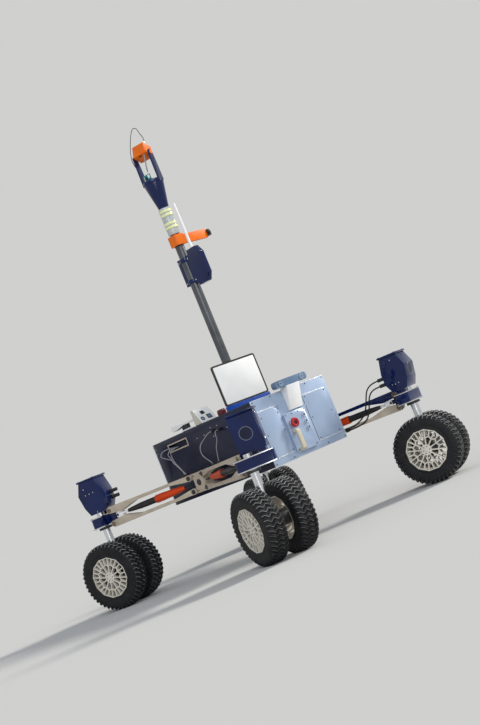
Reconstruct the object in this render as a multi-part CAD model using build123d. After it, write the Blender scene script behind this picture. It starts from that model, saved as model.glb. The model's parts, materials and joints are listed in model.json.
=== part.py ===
"""Planetary rover prototype: a body box on rocker-mounted double arms, four steered twin
wheels under drive housings, and a mast with a beacon and a panning camera head.

Frame: millimetres, +Z up, origin on the floor under the middle of the footprint.
+X is the end with the instrument panel, +Y is the left side seen from behind.
"""
from build123d import *
from math import atan2, cos, degrees, hypot, pi, radians, sin, tan
import os

os.makedirs("parts", exist_ok=True)

# Wheels
HALF_WHEELBASE = 524.0
HALF_TRACK = 474.5
TYRE_DIAMETER = 285.0
TYRE_WIDTH = 80.0
TWIN_GAP = 55.0
TYRE_SIDES = 20
SHOULDER_WIDTH = 8.0
SHOULDER_DROP = 9.0
RIB_DEPTH = 4.0
RIB_SINK = 2.0
RIB_WIDTH = 13.0
RIB_SWEEP = 12.0
RIM_SIDES = 12
RIM_DIAMETER = 168.0
RIM_WALL = 4.0
RIM_INSET = 2.0
SPOKE_WIDTH = 4.5
SPOKE_DEPTH = 18.0
HUB_DIAMETER = 44.0
FORK_START = 0.62
FORK_PEAK = 0.72
AXLE_DIAMETER = 16.0
AXLE_CAP_DIAMETER = 12.0
AXLE_CAP = 2.0
RUNNING_FIT = 0.05

# Steered drive between the twins
DRIVE_DIAMETER = 64.0
DRIVE_CLEARANCE = 9.0
STEER_TUBE_DIAMETER = 34.0
STEER_TUBE_WALL = 3.0
STEER_TUBE_INSERT = 18.0
TUBE_END_ROOM = 2.0
SHAFT_ROOM = 6.0
BOSS_WALL = 4.0
BOSS_RISE = 20.0
COLLAR_DIAMETER = 58.0
COLLAR_THICKNESS = 10.0
COLLAR_GAP = 2.0

# Knuckle that holds the steering tube, and the drive housing on it
BLOCK_BOTTOM = 352.0
BLOCK_HEIGHT = 40.0
BLOCK_WIDTH = 56.0
BLOCK_OUTER = 55.0
BLOCK_INNER = 100.0
BLOCK_EDGE = 8.0
PLATE_THICKNESS = 4.0
PLATE_LIP = 2.0
HOUSING_GAP = 14.0
HOUSING_HEIGHT = 147.0
HOUSING_WIDTH = 104.0
HOUSING_OFFSET = 34.0
HOUSING_TOP_DEPTH = 76.0
HOUSING_BACK = 53.0
BACK_FOOT = 32.0
BACK_LOW_RISE = 38.2
BACK_HIGH_RISE = 85.3
HOUSING_FRONT = 60.0
FRONT_SLOPE = 10.0
FRONT_FOOT = 34.0
FRONT_LOW_RISE = 36.0
FRONT_HIGH_RISE = 95.0
FOOT_LENGTH = 36.0
FOOT_DEPTH = 38.0
COVER_INSET = 12.0
COVER_PROUD = 1.5
LID_THICKNESS = 8.0
LID_OVERHANG = 6.0
PLUG_DIAMETER = 15.0
PLUG_COLLAR_DIAMETER = 19.0
PLUG_COLLAR = 5.0
PLUG_LENGTH = 32.0
PLUG_SHIFT = 30.0
PLUG_SPACING = 25.0
PLUG_DROP = 5.7

# Arms, dampers and the rocker blocks that carry them
ARM_WIDTH = 36.0
ARM_TOP = 418.0
ARM_BOTTOM = 329.0
ARM_DROP = 4.0
ARM_END_RADIUS = 13.0
ARM_SLIM = 16.0
ARM_DEEP = 34.0
PIN_SPACING = 58.0
PIN_DIAMETER = 8.0
PIN_SIDES = 12
PIN_HEAD_DIAMETER = 20.0
PIN_HEAD = 3.0
KNUCKLE_REACH = 62.0
LUG_WIDTH = 14.0
LUG_TRIM = 4.0
LUG_ROUND = 3.0
SIDE_PLAY = 2.0
SLOT_RUNOUT = 12.0
ROCKER_LENGTH = 62.0
ROCKER_HEIGHT = 82.0
ROCKER_THICKNESS = 50.0
ROCKER_Y = 297.0
ROCKER_SHAFT_DIAMETER = 44.0
ROCKER_FLANGE_DIAMETER = 64.0
ROCKER_FLANGE = 6.0
ROCKER_PIN_REACH = 55.0
ROCKER_CAP_DIAMETER = 27.0
ROCKER_CAP = 2.0
SLEEVE_DIAMETER = 34.0
DAMPER_DIAMETER = 29.0
DAMPER_ROD_DIAMETER = 10.0
DAMPER_LUG = 18.0
DAMPER_LUG_REACH = 24.0
CLEVIS_LENGTH = 34.0
CLEVIS_SIZE = 20.0
CLEVIS_WALL = 4.0
CLEVIS_FLOOR = 6.0
CLEVIS_PLAY = 0.5
CLEVIS_END = 6.0
CLEVIS_PIN_BACK = 30.0
CLEVIS_PIN_DIAMETER = 6.0
CLEVIS_PIN_HEAD_DIAMETER = 11.0
CLEVIS_PIN_HEAD = 2.0

# Body box
BODY_LENGTH = 700.0
BODY_WIDTH = 426.0
BODY_BOTTOM = 314.0
BODY_TOP = 591.0
PANEL_THICKNESS = 4.0
HATCH_THICKNESS = 2.5
HATCH_BOTTOM = 345.0
HATCH_TOP = 541.0
STRIP_PROUD = 12.0

# Mast
MAST_X = 70.0
MAST_DIAMETER = 40.0
MAST_WALL = 3.0
MAST_BOX_BOTTOM = 1133.0
MAST_BOX_HEIGHT = 157.0
MAST_BOX_REACH = 119.0
MAST_BOX_WIDTH = 23.0
SIDE_ARM_GAP = 36.0
SIDE_ARM_HEIGHT = 46.0
SIDE_ARM_REACH = 150.0
BEACON_GAP = 5.0
BEACON_HEIGHT = 120.0
BEACON_DIAMETER = 50.0
CONE_HEIGHT = 115.0
CONE_TOP_DIAMETER = 88.0
PAN_GAP = 0.3
PAN_BASE_HEIGHT = 14.0
TILT_RISE = 113.7
FORK_THICKNESS = 6.0
FORK_FOOT_HALF = 18.0
FORK_TOP_RADIUS = 15.0
PIVOT_DIAMETER = 10.0
PIVOT_HEAD_DIAMETER = 18.0
PIVOT_HEAD = 3.0
SLIDE_GAP = 0.3
HEAD_YAW = -71.5
HEAD_PITCH = 26.0
HEAD_WIDTH = 58.0
HEAD_DEPTH = 56.0
HEAD_ABOVE_PIVOT = 46.0
HEAD_BELOW_PIVOT = 10.0
HEAD_EDGE = 2.0
HEAD_SIDE_GAP = 9.0
WHIP_DIAMETER = 5.0
WHIP_LENGTH = 20.0
WHIP_BACK = 1.0
WHIP_SIDE = 18.0

# One row per corner: name, side along X, side along Y, steering angle, yaw of the housing
CORNERS = [
    ("rear_right", -1, -1, 20.0, 28.0),
    ("front_right", 1, -1, -13.0, 49.0),
    ("front_left", 1, 1, 28.0, 21.0),
    ("rear_left", -1, 1, -20.0, 25.0),
]

WHEEL_Z = TYRE_DIAMETER / 2
WHEEL_OFFSET = (TWIN_GAP + TYRE_WIDTH) / 2
FACE_OFFSET = WHEEL_OFFSET + TYRE_WIDTH / 2 - RIM_INSET
DRIVE_HALF = FACE_OFFSET - SPOKE_DEPTH - DRIVE_CLEARANCE
BOSS_TOP = DRIVE_DIAMETER / 2 + BOSS_RISE
TUBE_SEAT = AXLE_DIAMETER / 2 + SHAFT_ROOM
BLOCK_TOP = BLOCK_BOTTOM + BLOCK_HEIGHT
LOWER_PLATE_BOTTOM = BLOCK_BOTTOM - PLATE_THICKNESS
UPPER_PLATE_TOP = BLOCK_TOP + PLATE_THICKNESS
HOUSING_BOTTOM = UPPER_PLATE_TOP + HOUSING_GAP
HOUSING_TOP = HOUSING_BOTTOM + HOUSING_HEIGHT
TUBE_TOP = HOUSING_BOTTOM + STEER_TUBE_INSERT
TUBE_BORE = STEER_TUBE_DIAMETER + 2 * RUNNING_FIT
MID_Z = (ARM_TOP + ARM_BOTTOM) / 2
PIN_UP = MID_Z + PIN_SPACING / 2
PIN_LOW = MID_Z - PIN_SPACING / 2
ARM_SPAN = hypot(HALF_WHEELBASE, HALF_TRACK - ROCKER_Y)
ARM_SPLAY = degrees(atan2(HALF_TRACK - ROCKER_Y, HALF_WHEELBASE))
PIN_OUT = ARM_SPAN - KNUCKLE_REACH
PIN_IN = ROCKER_PIN_REACH
PANEL_X = BODY_LENGTH / 2
WALL_Y = BODY_WIDTH / 2


def block(x0, x1, y0, y1, z0, z1):
    """Upright box between two corners."""
    return Pos((x0 + x1) / 2, (y0 + y1) / 2, (z0 + z1) / 2) * Box(abs(x1 - x0), abs(y1 - y0), z1 - z0)


def rod_z(x, y, z0, z1, diameter):
    """Upright cylinder."""
    return Pos(x, y, (z0 + z1) / 2) * Cylinder(diameter / 2, z1 - z0)


def rod_x(x0, x1, y, z, diameter):
    """Cylinder along X."""
    return Pos((x0 + x1) / 2, y, z) * Rot(0, 90, 0) * Cylinder(diameter / 2, x1 - x0)


def rod_y(y0, y1, x, z, diameter):
    """Cylinder along Y."""
    return Pos(x, (y0 + y1) / 2, z) * Rot(90, 0, 0) * Cylinder(diameter / 2, abs(y1 - y0))


def prism_y(points, y0, y1):
    """Outline in X and Z, run along Y."""
    face = make_face(Polyline(*[(x, 0, z) for x, z in points], close=True))
    return Pos(0, y0, 0) * extrude(face, amount=y1 - y0, dir=(0, 1, 0))


def prism_x(points, x0, x1):
    """Outline in Y and Z, run along X."""
    face = make_face(Polyline(*[(0, y, z) for y, z in points], close=True))
    return Pos(x0, 0, 0) * extrude(face, amount=x1 - x0, dir=(1, 0, 0))


def lead_radii(points):
    """Bend radius at each inner point of a route, from the shorter run beside it."""
    radii = []
    for before, at, after in zip(points, points[1:], points[2:]):
        first = Vector(*at) - Vector(*before)
        second = Vector(*after) - Vector(*at)
        turn = radians(first.get_angle(second))
        radii.append(round(0.45 * min(first.length, second.length) / tan(turn / 2), 2))
    return radii


def lead(name, points, diameter):
    """Round lead along a route of straight runs and bends."""
    radii = lead_radii(points)
    route = FilletPolyline(*points, radius=radii)
    start = Plane(origin=route @ 0, z_dir=route % 0)
    body = sweep(start * Circle(diameter / 2), path=route)
    expected = route.length * pi * diameter**2 / 4
    print(f"{name}: length {route.length:.1f}, volume ratio {body.volume / expected:.4f}, radii {radii}")
    return body


def save(name, shapes):
    """Write one node; a list becomes one file with its solids side by side."""
    solids = []
    for shape in shapes if isinstance(shapes, list) else [shapes]:
        solids += list(shape.solids())
    body = solids[0] if len(solids) == 1 else Compound(children=solids)
    body.label = name
    export_step(body, f"parts/{name}.step")


def corner_place(side_x, side_y):
    """Steering axis of a corner."""
    return Pos(side_x * HALF_WHEELBASE, side_y * HALF_TRACK, 0)


def wheel_place(side_x, side_y, steer):
    """Local Y is the axle, local origin on the axle under the steering tube."""
    return corner_place(side_x, side_y) * Rot(0, 0, steer) * Pos(0, 0, WHEEL_Z)


def knuckle_place(side_x, side_y, yaw):
    """Local X points out of the badge face; local Y times hand() points to the middle of the rover."""
    angle = side_y * yaw if side_x > 0 else 180 - side_y * yaw
    return corner_place(side_x, side_y) * Rot(0, 0, angle)


def hand(side_x, side_y):
    """Sense of local Y that points to the middle of the rover."""
    return -side_x * side_y


def arm_place(side_x, side_y):
    """Local X runs from the rocker block to the steering axis."""
    angle = side_y * ARM_SPLAY if side_x > 0 else 180 - side_y * ARM_SPLAY
    return Pos(0, side_y * ROCKER_Y, 0) * Rot(0, 0, angle)


def world(place, x, y, z):
    """Point of a local frame as a point of the rover's frame."""
    return tuple((place * Pos(x, y, z)).position)


# Tyres and rims: one of each is made about the axle and placed on every hub

def regular(across_flats, sides):
    """Regular outline measured across its flats, one flat facing down."""
    return RegularPolygon(across_flats / 2 / cos(pi / sides), sides, rotation=180 / sides)


def make_tyre():
    """Flat-sided crown with sloped shoulders and one V-shaped rib on each flat, bored for the rim."""
    crown_half = TYRE_WIDTH / 2 - SHOULDER_WIDTH
    crown_radius = TYRE_DIAMETER / 2 - RIB_DEPTH
    crown = regular(2 * crown_radius, TYRE_SIDES)
    edge = regular(2 * (crown_radius - SHOULDER_DROP), TYRE_SIDES)
    body = extrude(crown, amount=crown_half, both=True)
    for side in (1, -1):
        body += loft([Pos(0, 0, side * crown_half) * crown, Pos(0, 0, side * TYRE_WIDTH / 2) * edge])
    body = Rot(90, 0, 0) * body
    sweep_half = RIB_SWEEP / 2
    half = RIB_WIDTH / 2
    outline = [
        (-crown_half, -sweep_half - half), (0, sweep_half - half), (crown_half, -sweep_half - half),
        (crown_half, -sweep_half + half), (0, sweep_half + half), (-crown_half, -sweep_half + half),
    ]
    rib = prism_x(outline, crown_radius - RIB_SINK, TYRE_DIAMETER / 2)
    body += [Rot(0, index * 360 / TYRE_SIDES, 0) * rib for index in range(TYRE_SIDES)]
    bore = Rot(90, 0, 0) * extrude(regular(RIM_DIAMETER, RIM_SIDES), amount=TYRE_WIDTH, both=True)
    return body - bore


def bar_between(start, end):
    """Straight web of the rim's face between two points given as radius and angle."""
    x0, y0 = start[0] * cos(radians(start[1])), start[0] * sin(radians(start[1]))
    x1, y1 = end[0] * cos(radians(end[1])), end[0] * sin(radians(end[1]))
    angle = degrees(atan2(y1 - y0, x1 - x0))
    return Pos((x0 + x1) / 2, (y0 + y1) / 2) * Rot(0, 0, angle) * Rectangle(hypot(x1 - x0, y1 - y0), SPOKE_WIDTH)


def make_rim():
    """Barrel with a deep webbed face flush with its outer edge, the face towards +Y."""
    barrel_face = regular(RIM_DIAMETER, RIM_SIDES) - regular(RIM_DIAMETER - 2 * RIM_WALL, RIM_SIDES)
    inner = RIM_DIAMETER / 2 - RIM_WALL
    step = 360 / RIM_SIDES
    webs = []
    for index in range(RIM_SIDES):
        corner = (index + 0.5) * step
        between = (index + 1) * step
        webs.append(bar_between((0, corner), (inner + RIM_WALL / 2, corner)))
        webs.append(bar_between((FORK_START * inner, corner), (FORK_PEAK * inner, between)))
        webs.append(bar_between((FORK_START * inner, corner + step), (FORK_PEAK * inner, between)))
        webs.append(bar_between((FORK_PEAK * inner, between), (inner + RIM_WALL / 2, between)))
    lattice = barrel_face + regular(HUB_DIAMETER, RIM_SIDES) + webs
    width = TYRE_WIDTH - 2 * RIM_INSET
    barrel = Pos(0, 0, -width / 2) * extrude(barrel_face, amount=width)
    face = Pos(0, 0, width / 2 - SPOKE_DEPTH) * extrude(lattice, amount=SPOKE_DEPTH)
    return Rot(-90, 0, 0) * (barrel + face)


tyre = make_tyre()
rim = make_rim()
axle = rod_y(-FACE_OFFSET - AXLE_CAP, FACE_OFFSET + AXLE_CAP, 0, 0, AXLE_CAP_DIAMETER)
axle += rod_y(-FACE_OFFSET + SPOKE_DEPTH / 2, FACE_OFFSET - SPOKE_DEPTH / 2, 0, 0, AXLE_DIAMETER)
rim_pair = Pos(0, WHEEL_OFFSET, 0) * rim + Rot(0, 0, 180) * Pos(0, WHEEL_OFFSET, 0) * rim + axle

carrier = rod_y(-DRIVE_HALF, DRIVE_HALF, 0, 0, DRIVE_DIAMETER)
carrier += rod_z(0, 0, 0, BOSS_TOP, STEER_TUBE_DIAMETER + 2 * BOSS_WALL)
carrier -= rod_z(0, 0, TUBE_SEAT, BOSS_TOP + 1, STEER_TUBE_DIAMETER)
carrier -= rod_y(-DRIVE_HALF - 1, DRIVE_HALF + 1, 0, 0, AXLE_DIAMETER + 2 * RUNNING_FIT)

tube_bottom = WHEEL_Z + TUBE_SEAT
collar_top = LOWER_PLATE_BOTTOM - COLLAR_GAP
tube = rod_z(0, 0, tube_bottom, TUBE_TOP, STEER_TUBE_DIAMETER)
tube += rod_z(0, 0, collar_top - COLLAR_THICKNESS, collar_top, COLLAR_DIAMETER)
tube -= rod_z(0, 0, tube_bottom - 1, TUBE_TOP + 1, STEER_TUBE_DIAMETER - 2 * STEER_TUBE_WALL)

for name, side_x, side_y, steer, yaw in CORNERS:
    place = wheel_place(side_x, side_y, steer)
    save(f"tyres_{name}", [place * Pos(0, offset, 0) * tyre for offset in (WHEEL_OFFSET, -WHEEL_OFFSET)])
    save(f"rims_{name}", place * rim_pair)
    save(f"axle_drive_{name}", place * carrier)
    save(f"steering_tube_{name}", corner_place(side_x, side_y) * Rot(0, 0, steer) * tube)

# Knuckles and drive housings

LUG_HEIGHT = PIN_SPACING + 2 * ARM_END_RADIUS - LUG_TRIM
PLUG_Z = HOUSING_BOTTOM + (BACK_LOW_RISE + BACK_HIGH_RISE) / 2 - PLUG_DROP
PLUG_HEIGHTS = [PLUG_Z + PLUG_SPACING / 2, PLUG_Z - PLUG_SPACING / 2]

# Side outline: the badge face leans out between two slopes, the back is upright at its waist
housing_face = make_face(Polyline(
    (FRONT_FOOT, HOUSING_BOTTOM), (HOUSING_FRONT - FRONT_SLOPE, HOUSING_BOTTOM + FRONT_LOW_RISE),
    (HOUSING_FRONT, HOUSING_BOTTOM + FRONT_HIGH_RISE), (HOUSING_TOP_DEPTH / 2, HOUSING_TOP),
    (-HOUSING_TOP_DEPTH / 2, HOUSING_TOP), (-HOUSING_BACK, HOUSING_BOTTOM + BACK_HIGH_RISE),
    (-HOUSING_BACK, HOUSING_BOTTOM + BACK_LOW_RISE), (-BACK_FOOT, HOUSING_BOTTOM), close=True))
cover_face = offset(housing_face, amount=-COVER_INSET, kind=Kind.INTERSECTION)
housing_shell = extrude(housing_face, amount=HOUSING_WIDTH / 2, both=True)
housing_shell += extrude(cover_face, amount=HOUSING_WIDTH / 2 + COVER_PROUD, both=True)
housing_shell = Rot(90, 0, 0) * housing_shell

knuckles = []
plates = []
housings = []
lids = []
plugs = []
for name, side_x, side_y, steer, yaw in CORNERS:
    place = knuckle_place(side_x, side_y, yaw)
    axis = corner_place(side_x, side_y)
    arm = arm_place(side_x, side_y)
    turn = hand(side_x, side_y)
    half = BLOCK_WIDTH / 2
    y_out = -turn * BLOCK_OUTER
    y_in = turn * BLOCK_INNER

    body = block(-half, half, y_out, y_in, BLOCK_BOTTOM, BLOCK_TOP)
    body = place * chamfer(body.edges().filter_by(Axis.Z), BLOCK_EDGE)
    lug = arm * block(PIN_OUT - ARM_END_RADIUS, ARM_SPAN, -LUG_WIDTH / 2, LUG_WIDTH / 2,
                      MID_Z - LUG_HEIGHT / 2, MID_Z + LUG_HEIGHT / 2)
    near = arm * block(PIN_OUT - ARM_END_RADIUS, PIN_OUT + ARM_END_RADIUS, -LUG_WIDTH, LUG_WIDTH, 0, HOUSING_TOP)
    between = axis * block(-ARM_SPAN, ARM_SPAN, -ARM_SPAN, ARM_SPAN, BLOCK_BOTTOM, BLOCK_TOP)
    body += (lug & between) + (lug & near)
    damper_half = CLEVIS_SIZE / 2 - CLEVIS_WALL - CLEVIS_PLAY
    body += arm * block(PIN_OUT - ARM_END_RADIUS - DAMPER_LUG_REACH, PIN_OUT, -damper_half, damper_half,
                        MID_Z - DAMPER_LUG / 2, MID_Z + DAMPER_LUG / 2)
    body -= axis * rod_z(0, 0, BLOCK_BOTTOM - 1, BLOCK_TOP + 1, TUBE_BORE)
    for z in (PIN_LOW, PIN_UP):
        body -= arm * rod_y(-LUG_WIDTH, LUG_WIDTH, PIN_OUT, z, PIN_DIAMETER)
    body -= arm * rod_y(-LUG_WIDTH, LUG_WIDTH, PIN_OUT - CLEVIS_PIN_BACK, MID_Z, CLEVIS_PIN_DIAMETER)
    knuckles.append(body)

    sheets = []
    for z in (LOWER_PLATE_BOTTOM, BLOCK_TOP):
        sheet = place * block(-half - PLATE_LIP, half + PLATE_LIP, y_out - turn * PLATE_LIP, y_in + turn * PLATE_LIP,
                              z, z + PLATE_THICKNESS)
        sheet -= axis * rod_z(0, 0, z - 1, z + PLATE_THICKNESS + 1, TUBE_BORE)
        sheets.append(sheet - body)
    plates += sheets

    centre = turn * HOUSING_OFFSET
    shell = Pos(0, centre, 0) * housing_shell
    foot_at = centre + turn * HOUSING_WIDTH / 4
    shell += block(-FOOT_DEPTH / 2, FOOT_DEPTH / 2, foot_at - FOOT_LENGTH / 2, foot_at + FOOT_LENGTH / 2,
                   UPPER_PLATE_TOP, HOUSING_BOTTOM + 1)
    shell -= rod_z(0, 0, HOUSING_BOTTOM - 1, TUBE_TOP + TUBE_END_ROOM, TUBE_BORE + TUBE_END_ROOM)
    housings.append(place * shell)
    lid_half = HOUSING_TOP_DEPTH / 2 + LID_OVERHANG
    reach = HOUSING_WIDTH / 2 + LID_OVERHANG
    lids.append(place * block(-lid_half, lid_half, centre - reach, centre + reach,
                              HOUSING_TOP, HOUSING_TOP + LID_THICKNESS))
    plug_y = centre + turn * PLUG_SHIFT
    for z in PLUG_HEIGHTS:
        plug = rod_x(-HOUSING_BACK - PLUG_LENGTH, -HOUSING_BACK, plug_y, z, PLUG_DIAMETER)
        plugs.append(place * (plug + rod_x(-HOUSING_BACK - PLUG_COLLAR, -HOUSING_BACK, plug_y, z,
                                           PLUG_COLLAR_DIAMETER)))

save("knuckle_blocks", knuckles)
save("knuckle_plates", plates)
save("drive_housings", housings)
save("housing_lids", lids)
save("housing_plugs", plugs)

# Arms, their pins and the dampers, made once about the line from rocker to steering axis

# Middle line of the damper: distance from the rocker where each piece starts or ends
SLEEVE_START = 44.0
SLEEVE_RAMP = 50.0
SLEEVE_REACH = 196.0
TAPER_BACK = 154.0
DAMPER_BACK = 84.0
SLEEVE_IN = PIN_IN + SLEEVE_START
SLEEVE_FULL = SLEEVE_IN + SLEEVE_RAMP
SLEEVE_OUT = PIN_IN + SLEEVE_REACH
DAMPER_TAPER = PIN_OUT - TAPER_BACK
DAMPER_OUT = PIN_OUT - DAMPER_BACK
CLEVIS_IN = PIN_OUT - CLEVIS_PIN_BACK + CLEVIS_END - CLEVIS_LENGTH
ROCKER_STUB = ROCKER_LENGTH / 2 + 8.0


# Inner edge of an arm: how far from its pins it turns from the ends to the deep web and to the slim middle
ARM_END_STEP = 2.0
ARM_DEEP_BACK = 60.0
ARM_SLIM_BACK = 140.0
ARM_SLIM_START = 90.0
ARM_END_START = 22.0


def arm_outline(flip):
    """Straight outer edge, arched inner edge, deep rounded ends; flip gives the lower arm."""
    edge = ARM_TOP - MID_Z
    end = 2 * ARM_END_RADIUS
    points = [
        (PIN_IN, edge - ARM_DROP), (PIN_OUT, edge), (PIN_OUT, edge - end - ARM_END_STEP),
        (PIN_OUT - ARM_DEEP_BACK, edge - ARM_DEEP), (PIN_OUT - ARM_SLIM_BACK, edge - ARM_SLIM),
        (PIN_IN + ARM_SLIM_START, edge - ARM_SLIM), (PIN_IN + ARM_END_START, edge - end), (PIN_IN, edge - end),
    ]
    return [(x, MID_Z + flip * z) for x, z in points]


def make_arm(flip, pin_z):
    """One arm with forked ends around the lugs of the knuckle and the rocker block."""
    half = ARM_WIDTH / 2
    slot = LUG_WIDTH / 2 + SIDE_PLAY
    run = ARM_END_RADIUS + SLOT_RUNOUT
    body = prism_y(arm_outline(flip), -half, half)
    for x, sense in ((PIN_IN, -1), (PIN_OUT, 1)):
        body += rod_y(-half, half, x, pin_z, 2 * ARM_END_RADIUS)
        body -= block(x - sense * run, x + sense * 2 * run, -slot, slot, BODY_BOTTOM, BODY_TOP)
        body -= rod_y(-half - 1, half + 1, x, pin_z, PIN_DIAMETER)
    return body


def turned(points):
    """Solid of revolution about the damper's axis from distances along it and radii."""
    profile = [(points[0][0], 0)] + list(points) + [(points[-1][0], 0)]
    face = make_face(Polyline(*[(x, 0, r) for x, r in profile], close=True))
    return Pos(0, 0, MID_Z) * revolve(face, Axis.X)


def make_pin(x, z, half, diameter, head_diameter, head):
    """Cross pin with a flat head on both sides, its heads seated on the outer faces."""
    disc = extrude(RegularPolygon(head_diameter / 2, PIN_SIDES), half + head, both=True)
    heads = Pos(x, 0, z) * Rot(90, 0, 0) * disc
    heads -= block(x - head_diameter, x + head_diameter, -half, half, z - head_diameter, z + head_diameter)
    return heads + rod_y(-half, half, x, z, diameter)


arm_half = ARM_WIDTH / 2
pin_set = [
    make_pin(x, z, arm_half, PIN_DIAMETER, PIN_HEAD_DIAMETER, PIN_HEAD)
    for x in (PIN_IN, PIN_OUT) for z in (PIN_LOW, PIN_UP)
]
pin_set.append(make_pin(PIN_OUT - CLEVIS_PIN_BACK, MID_Z, CLEVIS_SIZE / 2, CLEVIS_PIN_DIAMETER,
                        CLEVIS_PIN_HEAD_DIAMETER, CLEVIS_PIN_HEAD))
upper_arm = make_arm(1, PIN_UP)
lower_arm = make_arm(-1, PIN_LOW)
rod_radius = DAMPER_ROD_DIAMETER / 2
sleeve_radius = SLEEVE_DIAMETER / 2
damper_radius = DAMPER_DIAMETER / 2
sleeve = turned([(SLEEVE_IN, rod_radius), (SLEEVE_FULL, sleeve_radius - 3), (SLEEVE_OUT - 30, sleeve_radius),
                 (SLEEVE_OUT, sleeve_radius)])
damper = turned([(SLEEVE_OUT, damper_radius), (DAMPER_TAPER, damper_radius - 2), (DAMPER_OUT, rod_radius + 1)])
clevis_half = CLEVIS_SIZE / 2
clevis = block(CLEVIS_IN, CLEVIS_IN + CLEVIS_LENGTH, -clevis_half, clevis_half,
               MID_Z - clevis_half, MID_Z + clevis_half)
clevis -= block(CLEVIS_IN + CLEVIS_FLOOR, CLEVIS_IN + CLEVIS_LENGTH + 1, CLEVIS_WALL - clevis_half,
                clevis_half - CLEVIS_WALL, MID_Z - CLEVIS_SIZE, MID_Z + CLEVIS_SIZE)
clevis -= rod_y(-CLEVIS_SIZE, CLEVIS_SIZE, PIN_OUT - CLEVIS_PIN_BACK, MID_Z, CLEVIS_PIN_DIAMETER)
outer_rod = turned([(DAMPER_OUT, rod_radius), (CLEVIS_IN, rod_radius)]) + clevis
inner_rod = turned([(ROCKER_STUB, rod_radius), (SLEEVE_IN, rod_radius)])

arms = [arm_place(side_x, side_y) for name, side_x, side_y, steer, yaw in CORNERS]
save("upper_arms", [arm * upper_arm for arm in arms])
save("lower_arms", [arm * lower_arm for arm in arms])
save("arm_pins", [arm * pin for arm in arms for pin in pin_set])
save("damper_sleeves", [arm * sleeve for arm in arms])
save("damper_bodies", [arm * damper for arm in arms])
save("damper_rods", [arm * rod for arm in arms for rod in (outer_rod, inner_rod)])

# Rocker blocks and the shafts that carry them

rockers = []
shafts = []
for side_y in (-1, 1):
    half = ROCKER_THICKNESS / 2
    centre = side_y * ROCKER_Y
    eye = ARM_END_RADIUS - LUG_ROUND
    body = block(-ROCKER_LENGTH / 2, ROCKER_LENGTH / 2, centre - half, centre + half,
                 MID_Z - ROCKER_HEIGHT / 2, MID_Z + ROCKER_HEIGHT / 2)
    bores = []
    for side_x in (-1, 1):
        arm = arm_place(side_x, side_y)
        for z in (PIN_LOW, PIN_UP):
            body += arm * block(ROCKER_LENGTH / 4, PIN_IN, -LUG_WIDTH / 2, LUG_WIDTH / 2, z - eye, z + eye)
            body += arm * rod_y(-LUG_WIDTH / 2, LUG_WIDTH / 2, PIN_IN, z, 2 * eye)
            bores.append(arm * rod_y(-LUG_WIDTH, LUG_WIDTH, PIN_IN, z, PIN_DIAMETER))
        body += arm * block(ROCKER_LENGTH / 4, ROCKER_STUB, -clevis_half, clevis_half,
                            MID_Z - DAMPER_LUG / 2, MID_Z + DAMPER_LUG / 2)
    rockers.append(body - bores)
    shaft = rod_y(side_y * WALL_Y, centre - side_y * half, 0, MID_Z, ROCKER_SHAFT_DIAMETER)
    shaft += rod_y(side_y * WALL_Y, side_y * (WALL_Y + ROCKER_FLANGE), 0, MID_Z, ROCKER_FLANGE_DIAMETER)
    shafts.append(shaft)
    face_y = centre + side_y * half
    shafts.append(rod_y(face_y, face_y + side_y * ROCKER_CAP, 0, MID_Z, ROCKER_CAP_DIAMETER))
save("rocker_blocks", rockers)
save("rocker_shafts", shafts)

# Body box with its cable slot, end panels and hatches

SLOT_X0 = -244.0
SLOT_X1 = -113.0
SLOT_Z0 = 535.0
SLOT_Z1 = 561.0
SLOT_DEPTH = 20.0
TRIM_WIDTH = 5.0
TRIM_PROUD = 1.5
slot_back = SLOT_DEPTH - WALL_Y
shell = block(-PANEL_X + PANEL_THICKNESS, PANEL_X - PANEL_THICKNESS, -WALL_Y, WALL_Y, BODY_BOTTOM, BODY_TOP)
slot_space = block(SLOT_X0, SLOT_X1, -2 * WALL_Y, slot_back, SLOT_Z0, SLOT_Z1)
save("body_shell", shell - slot_space)
trim = block(SLOT_X0 - TRIM_WIDTH, SLOT_X1 + TRIM_WIDTH, -WALL_Y - TRIM_PROUD, -WALL_Y,
             SLOT_Z0 - TRIM_WIDTH, SLOT_Z1 + TRIM_WIDTH)
save("slot_trim", trim - slot_space)
for name, sign in (("front_panel", 1), ("rear_panel", -1)):
    x0, x1 = sorted((sign * (PANEL_X - PANEL_THICKNESS), sign * PANEL_X))
    save(name, block(x0, x1, -WALL_Y, WALL_Y, BODY_BOTTOM, BODY_TOP))

# One row per hatch: edge towards the right side, edge towards the left side, cut at its top left corner
HATCHES = [(-200.0, -88.0, 22.0), (62.0, 194.0, 0.0)]
hatches = []
for y0, y1, cut in HATCHES:
    hatch = block(PANEL_X, PANEL_X + HATCH_THICKNESS, y0, y1, HATCH_BOTTOM, HATCH_TOP)
    if cut:
        edge = hatch.edges().filter_by(Axis.X).group_by(Axis.Z)[-1].sort_by(Axis.Y)[-1]
        hatch = chamfer(edge, cut)
    hatches.append(hatch)
save("front_hatches", hatches)

# Instrument strip: sockets, stop button, bar, hood and stereo camera

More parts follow.
